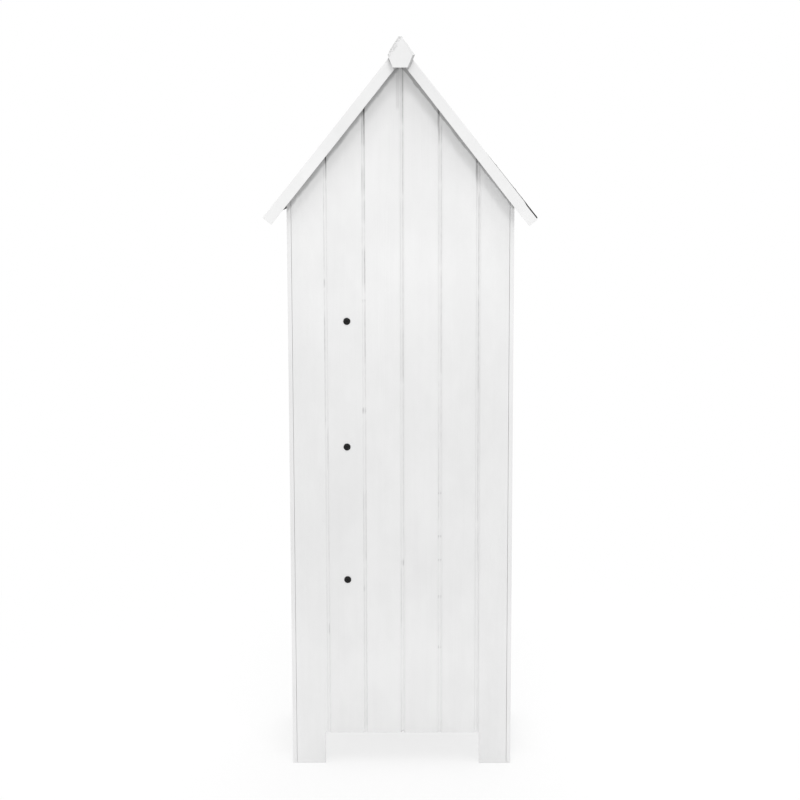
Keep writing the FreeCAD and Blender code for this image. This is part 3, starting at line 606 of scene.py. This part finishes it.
def worn_finial(form):
    """Blunts the kite's tip, lowers its foot a little and moves its edges."""
    shoulder, tip = FINIAL_WEAR[-2][0], FINIAL_WEAR[-1][0]
    for height, *_ in FINIAL_WEAR[2:-1]:
        cut_across(form, (0, 0, height), (0, 0, 1))
    cut = cut_across(form, (0, 0, tip), (0, 0, 1), clear_outer=True)
    rim = [part for part in cut["geom_cut"] if isinstance(part, bmesh.types.BMEdge)]
    bmesh.ops.contextual_create(form, geom=rim)
    for vert in form.verts:
        height = min(max(vert.co.z, FINIAL_FOOT), tip)
        for lower, upper in zip(FINIAL_WEAR, FINIAL_WEAR[1:]):
            if lower[0] <= height <= upper[0]:
                share = (height - lower[0]) / (upper[0] - lower[0])
                off = [below + (above - below) * share for below, above in zip(lower, upper)]
                if vert.co.x > FINIAL_MIDDLE:
                    vert.co.x += off[1]
                elif vert.co.x < -FINIAL_MIDDLE:
                    vert.co.x -= off[3] if vert.co.y < FINIAL_BACK else off[2]
                break
        vert.co.z += TIP_RISE * smooth(height, shoulder, tip)
        vert.co.z -= FOOT_DROP * smooth(height, FINIAL_FOOT + FOOT_HEIGHT, FINIAL_FOOT)


woodwork = [
    (["rear_board_%d" % k for k in range(1, 7)], paint_rear, WOOD),
    (["right_side_boards"], paint_side_right, WOOD),
    (["left_side_boards"], paint_side_left, WOOD),
    (["front_gable_boards"] + ["door_board_%d" % k for k in range(1, 6)], paint_front, WOOD),
    (["front_right_stile", "front_left_stile", "front_finial"], paint_upright, WOOD),
    (["front_sill_board"], paint_across, WOOD),
    (["front_bargeboard_right"], paint_slope_right, WOOD),
    (["rear_right_post", "rear_left_post", "front_right_post", "front_left_post"], paint_upright, INNER),
    (["divider_boards"], paint_upright, INNER),
    (["rear_batten_lower", "rear_batten_upper", "front_header_batten"], paint_across, INNER),
    (["front_sill_batten"], paint_across, INNER),
    (["door_ledge_lower", "door_ledge_middle", "door_ledge_upper"], paint_across, INNER),
    (["floor_boards", "shelf_rear_cleats"], paint_across, INNER),
    (["shelf_lower", "shelf_middle", "shelf_upper"], paint_across, INNER),
    (["floor_bearers", "wall_plates", "shelf_rails"], paint_deep, INNER),
    (["roof_boards_right", "roof_boards_left"], paint_deep, INNER),
    (["rear_rake_battens", "front_rake_battens"], paint_across, INNER),
]
for names, material, slot in woodwork:
    for name in names:
        worked(name, material)
worked("rear_bargeboard_right", paint_slope_right, reshape=right_rear_edges)
worked("rear_bargeboard_left", paint_slope_left, reshape=left_rear_edges)
worked("front_bargeboard_left", paint_slope_left, reshape=left_front_edges)
worked("rear_finial", paint_finial, reshape=worn_finial)


# Paint that fills the rear wall's joints, with cracks along their sides; their darkness is dirt and painted
# shade

# How far towards +X of its joint the last strip lies, as in the photograph
LAST_STRIP_SHIFT = 0.0018
# Each joint, right and left as seen from behind: its place, its lower end, how much paler its paint is,
# the gap that opens at its top (place in millimetres from the joint's middle towards +X, length, dirt and
# painted shade), and stretches of (lower end, upper end, dirt and painted shade in the right crack, in the
# left crack, on the whole width)
JOINTS = [
    (MIDDLE_JOINT + 2 * BOARD_COVER, 0.0808, 0.025, (-2.8, 0.045, 0.72),
     [(1.455, 1.520, 0.34, 0.18, 0.04), (1.425, 1.455, 0.20, 0.18, 0.03), (1.371, 1.425, 0.14, 0.28, 0.03),
      (1.237, 1.371, 0.06, 0.24, 0.02), (1.2, 1.22, 0.10, 0.55, 0.02), (1.14, 1.198, 0.05, 0.18, 0.02),
      (1.018, 1.14, 0.12, 0.38, 0.03), (0.855, 1.018, 0.08, 0.26, 0.02), (0.75, 0.855, 0.26, 0.06, 0.04),
      (0.635, 0.75, 0.06, 0.14, 0.02), (0.498, 0.635, 0.16, 0.05, 0.02), (0.334, 0.362, 0.40, 0.12, 0.03),
      (0.08, 0.498, 0.06, 0.12, 0.02)]),
    (MIDDLE_JOINT + BOARD_COVER, 0.0808, 0.018, (-2.1, 0.080, 0.80),
     [(1.535, 1.660, 0.62, 0.28, 0.11), (1.495, 1.535, 0.30, 0.18, 0.05), (1.419, 1.495, 0.40, 0.36, 0.10),
      (1.352, 1.419, 0.36, 0.20, 0.06), (1.304, 1.352, 0.16, 0.18, 0.03), (1.193, 1.299, 0.44, 0.20, 0.05),
      (1.164, 1.172, 0.35, 0.30, 0.04), (1.013, 1.159, 0.38, 0.12, 0.02), (0.914, 1.013, 0.16, 0.14, 0.01),
      (0.892, 0.906, 0.30, 0.50, 0.08), (0.705, 0.886, 0.16, 0.10, 0.01), (0.513, 0.705, 0.24, 0.22, 0.03),
      (0.442, 0.467, 0.10, 0.40, 0.04), (0.08, 0.513, 0.18, 0.18, 0.03)]),
    (MIDDLE_JOINT, 0.0850, 0.012, None,
     [(1.589, 1.76, 0.48, 0.10, 0.08), (1.419, 1.589, 0.34, 0.12, 0.04), (1.11, 1.419, 0.24, 0.16, 0.04),
      (0.964, 1.11, 0.30, 0.14, 0.05), (0.574, 0.964, 0.20, 0.10, 0.03), (0.51, 0.526, 0.40, 0.20, 0.04),
      (0.35, 0.51, 0.10, 0.24, 0.03), (0.195, 0.35, 0.06, 0.08, 0.02), (0.08, 0.195, 0.10, 0.18, 0.02)]),
    (MIDDLE_JOINT - BOARD_COVER, 0.0808, 0.015, (4.7, 0.062, 0.62),
     [(1.542, 1.589, 0.34, 0.50, 0.05), (1.447, 1.542, 0.30, 0.18, 0.05), (1.246, 1.447, 0.24, 0.16, 0.05),
      (0.983, 1.246, 0.26, 0.10, 0.04), (0.815, 0.983, 0.16, 0.12, 0.04), (0.615, 0.815, 0.10, 0.24, 0.03),
      (0.69, 0.697, 0.45, 0.45, 0.05), (0.581, 0.588, 0.45, 0.45, 0.05), (0.521, 0.527, 0.40, 0.40, 0.04),
      (0.428, 0.434, 0.35, 0.40, 0.04), (0.299, 0.305, 0.30, 0.40, 0.04), (0.308, 0.615, 0.10, 0.10, 0.02),
      (0.08, 0.308, 0.08, 0.10, 0.02)]),
    (MIDDLE_JOINT - 2 * BOARD_COVER + LAST_STRIP_SHIFT, 0.0808, 0.030, (3.6, 0.110, 0.88),
     [(1.438, 1.520, 0.40, 0.80, 0.08), (1.188, 1.438, 0.36, 0.14, 0.04), (0.934, 1.188, 0.34, 0.14, 0.05),
      (0.615, 0.934, 0.24, 0.18, 0.04), (0.513, 0.615, 0.18, 0.18, 0.04), (0.205, 0.513, 0.08, 0.22, 0.03),
      (0.08, 0.205, 0.12, 0.16, 0.03)]),
]
# Across a joint: place from its middle towards +X and depth below the face, both in millimetres, then
# the shares of the right crack, the left crack and the whole width
SECTION = [
    (6.2, 0.6, 0, 0, 0.2), (5.2, 0.34, 0, 0.1, 0.6), (4.4, 0.62, 0, 0.3, 0.9), (3.7, 0.85, 0, 0.7, 1),
    (3.2, 1.05, 0, 0.8, 1), (2.7, 1.05, 0, 0.75, 1), (2.2, 0.9, 0, 0.35, 1), (1.0, 0.95, 0, 0.1, 1),
    (-0.4, 0.95, 0.15, 0, 1), (-1.5, 0.92, 0.65, 0, 1), (-2.1, 1.0, 0.8, 0, 1), (-2.6, 1.1, 0.75, 0, 1),
    (-3.1, 1.0, 0.55, 0, 1), (-3.7, 0.55, 0.25, 0, 0.8), (-4.4, 0.12, 0.05, 0, 0.4), (-5.2, 0.6, 0, 0, 0),
]
# The strips' steps in height, and how far they run on behind the bargeboards
FILLER_STEP = 0.004
FILLER_HIDDEN = 0.012
# Height over which one stretch passes into the next, and the dirt and painted shade where there is no
# stretch
STRETCH_BLEND = 0.025
LEAST_DIRT_AND_SHADE = (0.10, 0.08, 0.02)
# How dark a gap gets, how much deeper in millimetres it lies, half its width in millimetres where it is
# full and where it ends, and how dark the paint gets anywhere
GAP_DARKEST = 0.88
GAP_DEEPER = 1.8
GAP_FULL = 1.5
GAP_END = 2.8
DARKEST = 0.92
# Distances below the bargeboard between which every gap reaches its darkest, as painted shade under the
# overhang
GAP_SHADE_UNDER_BARGEBOARD = (0.012, 0.002)


def dirt_and_shade_at(stretches, z):
    """Dirt and painted shade in the right crack, in the left crack and on the whole width at a height."""
    dirt_and_shade = LEAST_DIRT_AND_SHADE
    for low, high, *strengths in stretches:
        blend = min(STRETCH_BLEND, (high - low) / 3)
        share = smooth(z, low - blend, low + blend) * smooth(z, high + blend, high - blend)
        dirt_and_shade = [max(old, strength * share) for old, strength in zip(dirt_and_shade, strengths)]
    return dirt_and_shade


def gap_at(gap, below):
    """Place of the gap at a joint's top, and how dark it is at a distance below the bargeboard, darkest as
    painted shade close under it.
    """
    if gap is None:
        return 0.0, 0.0
    place, length, dirt_and_shade = gap
    painted_shade = GAP_DARKEST * smooth(below, *GAP_SHADE_UNDER_BARGEBOARD)
    return place, min(max(dirt_and_shade * (1 - below / length), painted_shade), GAP_DARKEST)


def joint_filler():
    """Strips that lie in the V joints, sunk a little below the boards' faces."""
    form = bmesh.new()
    mark = form.verts.layers.float.new("mark")
    for number, (middle, bottom, pale, gap, stretches) in enumerate(JOINTS):
        edge = RIDGE - abs(middle) * TAN - BARGEBOARD_WIDTH / COS
        count = int((edge + FILLER_HIDDEN - bottom) / FILLER_STEP)
        rows = []
        for step in range(count + 1):
            z = bottom + step * FILLER_STEP
            right, left, width = dirt_and_shade_at(stretches, z)
            gap_place, gap_dirt = gap_at(gap, edge - z)
            row = []
            for place, depth, right_share, left_share, width_share in SECTION:
                rough = noise.noise(Vector((place * 0.35 + number * 7, z * 90, 1.7)))
                slow = noise.noise(Vector((number * 3.1, z * 14, place * 0.06)))
                opened = gap_dirt * smooth(abs(place - gap_place), GAP_END, GAP_FULL)
                sunk = depth * (1 + 0.30 * slow + 0.22 * rough) + GAP_DEEPER * opened
                cracks = max(right * right_share, left * left_share) * (0.85 + 0.4 * rough)
                vert = form.verts.new((middle + place / 1000, WALL_Y - sunk / 1000, z))
                # The mark darkens the paint with dirt and painted shade in the cracks, gaps and grooves
                vert[mark] = min(max(cracks + width * width_share, opened, 0), DARKEST) - pale
                row.append(vert)
            rows.append(row)
        bridge(form, rows)
    face_towards(form, Vector((0, 1, 0)))
    finished("rear_joint_paint", form, paint_filler)


joint_filler()


# Roofing felt: one thin sheet, bent over the ridge and the eaves and nailed down

# Depth of its outer face and of its lip's end below the bargeboards' upper edges, its thickness, the
# radii of its bends, the Y of its edges, and how far its rear edge steps out at the -X eave
FELT_FACE = 0.003
FELT_LIP = 0.018
FELT_SHEET = 0.001
RIDGE_BEND = 0.0022
EAVE_BEND = 0.003
FELT_Y = GABLE_Y - 0.0002
REAR_STEP = 0.0108
# Steps along its bends, slopes, lips and depth
BEND_STEPS = 3
SLOPE_STEPS = 18
LIP_STEPS = 5
STEPS_ALONG_Y = 26
# Height of its waves on each slope, how much it lifts and reaches out at the loose rear corner on the -X
# side, how far its lip hangs lower towards the front on the +X side, and how uneven the lip is
LEFT_WAVES = 0.0003
RIGHT_WAVES = 0.0010
CORNER_LIFT = 0.0008
CORNER_REACH = 0.0028
LIP_HANGS = 0.006
LIP_UNEVEN_DOWN = 0.0008
LIP_UNEVEN_OUT = 0.0010
# The runs and the Y between which the loose corner sets in, and the distances from the middle towards
# the front between which the lip comes to hang lower
CORNER_RUNS = (0.468, 0.490)
CORNER_YS = (0.17, 0.262)
LIP_HANGS_FROM = (0.10, 0.25)


def felt_line():
    """Points (run, depth) of the sheet's outer face from the ridge to the end of its lip."""
    start = (FELT_FACE + RIDGE_BEND) * TAN
    line = []
    for step in range(BEND_STEPS + 1):
        angle = PITCH * step / BEND_STEPS
        line.append((start - RIDGE_BEND * math.sin(PITCH - angle),
                     FELT_FACE + RIDGE_BEND * (1 - math.cos(PITCH - angle))))
    last = EAVE_RUN - EAVE_BEND
    for step in range(1, SLOPE_STEPS + 1):
        line.append((start + (last - start) * step / SLOPE_STEPS, FELT_FACE))
    for step in range(1, BEND_STEPS + 1):
        angle = math.pi / 2 * step / BEND_STEPS
        line.append((last + EAVE_BEND * math.sin(angle), FELT_FACE + EAVE_BEND * (1 - math.cos(angle))))
    lip_start = FELT_FACE + EAVE_BEND
    for step in range(1, LIP_STEPS + 1):
        line.append((EAVE_RUN, lip_start + (FELT_LIP - lip_start) * step / LIP_STEPS))
    return line


def felt_point(side, run, depth, v):
    """Place of one point of the sheet, v from 0 at the door's side to 1 at the rear."""
    back = FELT_Y
    if side < 0:
        back += REAR_STEP * smooth(run, STEP_START, STEP_END)
    y = v * (back + FELT_Y) - FELT_Y
    wave = noise.noise(Vector((run * 13 + side * 5, y * 11, 0.4)))
    wave += 0.5 * noise.noise(Vector((run * 40, y * 31, side)))
    lift = (LEFT_WAVES if side < 0 else RIGHT_WAVES) * max(0.0, wave)
    lip = smooth(depth, FELT_FACE + EAVE_BEND, FELT_LIP)
    if side < 0:
        corner = smooth(run, *CORNER_RUNS) * smooth(y, *CORNER_YS)
        lift += CORNER_LIFT * corner * (1 - lip)
        run += CORNER_REACH * corner
    else:
        depth += lip * LIP_HANGS * smooth(-y, *LIP_HANGS_FROM)
    depth += lip * LIP_UNEVEN_DOWN * noise.noise(Vector((y * 22, side * 3.0, 2.2)))
    run += lip * LIP_UNEVEN_OUT * max(0.0, noise.noise(Vector((y * 16, side * 7.0, 5.1))))
    x, z = on_roof(side, run, depth - lift)
    return Vector((x, y, z))


def finished_sheet(name, form):
    """A felt piece with its thickness."""
    piece = finished(name, form, felt_grit)
    solid = piece.modifiers.new("thickness", "SOLIDIFY")
    solid.thickness = FELT_SHEET
    solid.offset = -1.0
    return piece


def felt_sheet():
    form = bmesh.new()
    columns = []
    for side, line in ((-1, felt_line()[::-1]), (1, felt_line()[1:])):
        for run, depth in line:
            column = []
            for k in range(STEPS_ALONG_Y + 1):
                column.append(form.verts.new(felt_point(side, run, depth, k / STEPS_ALONG_Y)))
            columns.append(column)
    bridge(form, columns)
    face_towards(form, Vector((0, 0, 1)))
    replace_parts(finished_sheet("roof_felt_sheet", form), "roof_felt")


# Outline (X, Z) of the sheet's loose front corner, its middle, its Y and how far its rim bulges forward
CORNER_OUTLINE = [
    (0.3240, 1.3722), (0.3262, 1.3640), (0.3258, 1.3560), (0.3215, 1.3508), (0.3155, 1.3493),
    (0.3090, 1.3522), (0.3022, 1.3553), (0.2992, 1.3618), (0.3040, 1.3660), (0.3120, 1.3690),
]
CORNER_MIDDLE = (0.3140, 1.3610)
CORNER_Y = -0.2553
CORNER_BULGE = 0.0012


def felt_ear():
    """Loose corner of the sheet that hangs behind the front bargeboard at the right eave."""
    middle_x, middle_z = CORNER_MIDDLE
    form = bmesh.new()
    rings = []
    for share in (0.35, 0.7, 1.0):
        y = CORNER_Y - CORNER_BULGE * share * share
        ring = []
        for x, z in CORNER_OUTLINE:
            place = (middle_x + (x - middle_x) * share, y, middle_z + (z - middle_z) * share)
            ring.append(form.verts.new(place))
        rings.append(ring)
    centre = form.verts.new((middle_x, CORNER_Y, middle_z))
    for k, vert in enumerate(rings[0]):
        form.faces.new((centre, vert, rings[0][(k + 1) % len(CORNER_OUTLINE)]))
    bridge(form, rings, closed=True)
    face_towards(form, Vector((0, 1, 0)))
    finished_sheet("roof_felt_corner", form)


# Clout nails: rows along the gables and the eaves, each from its first nail on in equal steps, how far
# the nails stray, and rings of (radius, height over the felt) that make a head. None holds the rear edge
# on the -X side past the run where it is loose.
NAILS_IN_ROW = 6
GABLE_FIRST_RUN = 0.045
GABLE_STEP = 0.088
GABLE_NAIL_Y = 0.243
LOOSE_RUN = 0.33
EAVE_FIRST_Y = -0.20
EAVE_STEP = 0.08
EAVE_NAIL_RUN = EAVE_RUN - 0.014
STRAY_RUN = 0.006
STRAY_Y = 0.003
NAIL_RINGS = [(0.0044, -0.0002), (0.0045, 0.0004), (0.0039, 0.0008), (0.0018, 0.0009)]
NAIL_SIDES = 16


def felt_nails():
    """Flat heads of the clout nails along the gables and the eaves."""
    places = []
    for side in (-1, 1):
        for end in (-1, 1):
            for step in range(NAILS_IN_ROW):
                run = GABLE_FIRST_RUN + GABLE_STEP * step
                if side > 0 or end < 0 or run < LOOSE_RUN:
                    places.append((side, run, end * GABLE_NAIL_Y))
        for step in range(NAILS_IN_ROW):
            places.append((side, EAVE_NAIL_RUN, EAVE_FIRST_Y + EAVE_STEP * step))
    form = bmesh.new()
    for side, run, y in places:
        run += random.uniform(-STRAY_RUN, STRAY_RUN)
        y += random.uniform(-STRAY_Y, STRAY_Y)
        x, z = on_roof(side, run, FELT_FACE)
        place = Matrix.Translation((x, y, z)) @ Matrix.Rotation(side * PITCH, 4, "Y")
        rings = []
        for radius, rise in NAIL_RINGS:
            ring = []
            for step in range(NAIL_SIDES):
                angle = 2 * math.pi * step / NAIL_SIDES
                point = Vector((radius * math.cos(angle), radius * math.sin(angle), rise))
                ring.append(form.verts.new(place @ point))
            rings.append(ring)
        bridge(form, rings[::-1], closed=True)
        form.faces.new(rings[-1])
        form.faces.new(rings[0][::-1])
    finished("felt_nails", form, galvanised)


random.seed(11)
felt_sheet()
felt_ear()
felt_nails()


# Hinges, screws, bolts, knob and turn button

# A cross recess: length and half width of its arms as shares of the width of the screw's head, its
# depth, and its cutter's scale at the recess's bottom and as far outside the head's face
CROSS_ARM = 0.44
CROSS_HALF = 0.085
CROSS_DEPTH = 0.001
CROSS_NARROW = 0.55
CROSS_WIDE = 1.15

# Each bolt: its height, and how far towards -X and down from there the photograph shows it
BOLT_MARKS = [(1.119, 0.0024, 0.0011), (0.810, 0.0010, 0.0013), (0.476, 0.0003, 0.0012)]


def finish_node(name, material):
    """Gives a node that keeps its own form its finish."""
    node = frame["nodes"][name]
    node.data.materials.clear()
    node.data.materials.append(material)


def islands(form):
    """Groups of vertices that hang together, in the mesh's own order."""
    form.verts.index_update()
    reached = [False] * len(form.verts)
    groups = []
    for start in form.verts:
        if reached[start.index]:
            continue
        reached[start.index] = True
        front = [start]
        group = []
        while front:
            vert = front.pop()
            group.append(vert)
            for edge in vert.link_edges:
                other = edge.other_vert(vert)
                if not reached[other.index]:
                    reached[other.index] = True
                    front.append(other)
        groups.append(group)
    return groups


def cross_cutter(form, middle, outer, out, size):
    """A tapered cross that goes into a screw's head along Y from its outer face."""
    arm = CROSS_ARM * size
    half = CROSS_HALF * size
    corners = [(half, arm), (half, half), (arm, half)]
    for _ in range(3):
        corners += [(z, -x) for x, z in corners[-3:]]
    turn = Matrix.Rotation(random.uniform(0, math.pi / 2), 2)
    ends = []
    for depth, share in ((-CROSS_DEPTH, CROSS_WIDE), (CROSS_DEPTH, CROSS_NARROW)):
        ring = []
        for corner in corners:
            place = turn @ Vector(corner) * share
            ring.append(form.verts.new((middle.x + place.x, outer - out * depth, middle.z + place.y)))
        ends.append(ring)
    bridge(form, ends[::-1], closed=True)
    form.faces.new(ends[0][::-1])
    form.faces.new(ends[1])


def recessed_screws(node, material, out):
    """Copies a node of screws and cuts a cross recess into each head, which faces the sign of Y in out."""
    piece = worked(node, material, SCREW_ROUNDED, METAL_SHORTEST)
    form = bmesh.new()
    form.from_mesh(piece.data)
    cutter = bmesh.new()
    for group in islands(form):
        lowest = Vector([min(vert.co[k] for vert in group) for k in range(3)])
        highest = Vector([max(vert.co[k] for vert in group) for k in range(3)])
        outer = highest.y if out > 0 else lowest.y
        cross_cutter(cutter, (lowest + highest) / 2, outer, out, highest.x - lowest.x)
    form.free()
    bmesh.ops.recalc_face_normals(cutter, faces=cutter.faces)
    cutter_mesh = bpy.data.meshes.new("recess_cutter")
    cutter.to_mesh(cutter_mesh)
    cutter.free()
    tool = bpy.data.objects.new("recess_cutter", cutter_mesh)
    blank = bpy.data.objects.new("screw_blank", piece.data)
    for thing in (tool, blank):
        bpy.context.scene.collection.objects.link(thing)
    cut = blank.modifiers.new("recess", "BOOLEAN")
    cut.operation = "DIFFERENCE"
    cut.solver = "EXACT"
    cut.object = tool
    bpy.context.view_layer.update()
    done = blank.evaluated_get(bpy.context.evaluated_depsgraph_get())
    piece.data = bpy.data.meshes.new_from_object(done)
    piece.data.name = node + "_worked"
    bpy.data.objects.remove(blank)
    bpy.data.objects.remove(tool)


def at_its_mark(form):
    """Moves each bolt, or its nut, to its own place."""
    for vert in form.verts:
        _, across, down = min(BOLT_MARKS, key=lambda mark: abs(mark[0] - vert.co.z))
        vert.co.x -= across
        vert.co.z -= down


for name in ("hinge_pins", "door_knob"):
    finish_node(name, black_coat)
for name in ("hinge_door_leaves", "hinge_frame_leaves", "turn_button"):
    worked(name, black_coat, METAL_ROUNDED, METAL_SHORTEST)
for name in ("hinge_door_screws", "hinge_frame_screws", "turn_button_screw"):
    recessed_screws(name, black_coat, -1)
recessed_screws("door_ledge_screws", plated, 1)
worked("shelf_bolts", bolt_coat, METAL_ROUNDED, METAL_SHORTEST, at_its_mark)
worked("shelf_bolt_nuts", plated, SCREW_ROUNDED, METAL_SHORTEST, at_its_mark)


# Floor, light and camera

# The floor's radius and height, the distances from the cabinet's middle between which it fades into the
# white background, and the share of white that it starts with
FLOOR_RADIUS = 14.0
FLOOR_Z = -0.0005
FADE_START = 0.4
FADE_END = 1.9
LEAST_WHITE = 0.78

# How much light comes from all around
AMBIENT = 0.845

# Lamps over the rear side, repeated over the front: name, place and power
LAMP_SIZE = 0.8
LAMP_AIM = (0, 0.2, 1.1)
LAMPS = [
    ("high_box", (0, 1.44, 4.90), 25),
    ("middle_box", (0, 2.55, 4.34), 22),
    ("side_box", (-1.18, 3.12, 3.56), 12),
]

# Pinhole camera fitted to the photograph
CAMERA_PLACE = (-0.040, 4.950, 1.740)
CAMERA_RIGHT = (-0.99996111, -0.00852435, -0.00226260)
CAMERA_UP = (-0.00077914, -0.17015859, 0.98541638)
CAMERA_LENS = 88.633


def seen_directly(tree):
    """1 for rays from the camera, reflected or let through, 0 for light that falls on the object."""
    path = tree.nodes.new("ShaderNodeLightPath")
    seen = path.outputs["Is Camera Ray"]
    for ray in ("Is Glossy Ray", "Is Transmission Ray"):
        either = tree.nodes.new("ShaderNodeMath")
        either.operation = "MAXIMUM"
        tree.links.new(seen, either.inputs[0])
        tree.links.new(path.outputs[ray], either.inputs[1])
        seen = either.outputs[0]
    return seen


def floor():
    """Pale disc that keeps the cabinet's shadow and fades into the white background."""
    form = bmesh.new()
    bmesh.ops.create_circle(form, cap_ends=True, segments=96, radius=FLOOR_RADIUS)
    data = bpy.data.meshes.new("studio_floor")
    form.to_mesh(data)
    form.free()
    data.transform(Matrix.Translation((0, 0, FLOOR_Z)))
    ground = bpy.data.objects.new("studio_floor", data)
    bpy.context.scene.collection.objects.link(ground)
    n = Nodes("studio_floor")
    n.shader.inputs["Base Color"].default_value = (0.86, 0.86, 0.86, 1)
    n.shader.inputs["Roughness"].default_value = 0.9
    n.shader.inputs["Specular IOR Level"].default_value = 0.1
    glow = n.add("ShaderNodeEmission")
    glow.inputs["Color"].default_value = (1, 1, 1, 1)
    glow.inputs["Strength"].default_value = 1.0
    spread = n.add("ShaderNodeVectorMath", operation="LENGTH")
    n.link(n.place, spread.inputs[0])
    share = n.ranged(spread.outputs["Value"], FADE_START, FADE_END, LEAST_WHITE, 1.0)
    mix = n.add("ShaderNodeMixShader")
    n.link(n.times(share, seen_directly(n.tree)), mix.inputs[0])
    n.link(n.shader.outputs[0], mix.inputs[1])
    n.link(glow.outputs[0], mix.inputs[2])
    n.link(mix.outputs[0], n.surface)
    data.materials.append(n.material)


def mirrored(place, side):
    """A place over the rear side, or its mirror image over the front where side is -1."""
    x, y, z = place
    return x, y * side, z


def softbox(name, place, aim, power):
    lamp = bpy.data.lights.new(name, "AREA")
    lamp.shape = "SQUARE"
    lamp.size = LAMP_SIZE
    lamp.energy = power
    holder = bpy.data.objects.new(name, lamp)
    bpy.context.scene.collection.objects.link(holder)
    holder.location = place
    holder.rotation_euler = (Vector(aim) - Vector(place)).to_track_quat("-Z", "Y").to_euler()


def surroundings():
    """World that lights the object from all around and shows white behind it."""
    world = bpy.data.worlds.new("studio")
    bpy.context.scene.world = world
    world.use_nodes = True
    tree = world.node_tree
    tree.nodes.clear()
    mix = tree.nodes.new("ShaderNodeMixShader")
    tree.links.new(seen_directly(tree), mix.inputs[0])
    for socket, strength in ((mix.inputs[1], AMBIENT), (mix.inputs[2], 1.0)):
        light = tree.nodes.new("ShaderNodeBackground")
        light.inputs["Color"].default_value = (1, 1, 1, 1)
        light.inputs["Strength"].default_value = strength
        tree.links.new(light.outputs[0], socket)
    output = tree.nodes.new("ShaderNodeOutputWorld")
    tree.links.new(mix.outputs[0], output.inputs["Surface"])


def photograph_camera():
    """Pinhole camera at the photograph's place, about 10 degrees down onto the rear wall."""
    data = bpy.data.cameras.new("photograph")
    data.sensor_width = 36.0
    data.lens = CAMERA_LENS
    data.clip_start = 0.1
    data.clip_end = 60.0
    right = Vector(CAMERA_RIGHT)
    up = Vector(CAMERA_UP)
    turn = Matrix((right, up, right.cross(up))).transposed()
    holder = bpy.data.objects.new("photograph", data)
    bpy.context.scene.collection.objects.link(holder)
    holder.matrix_world = Matrix.Translation(CAMERA_PLACE) @ turn.to_4x4()
    bpy.context.scene.camera = holder


floor()
surroundings()
for end, side in (("rear", 1), ("front", -1)):
    for name, place, power in LAMPS:
        softbox(name + "_" + end, mirrored(place, side), mirrored(LAMP_AIM, side), power)
photograph_camera()
bpy.context.scene.view_settings.view_transform = "Standard"
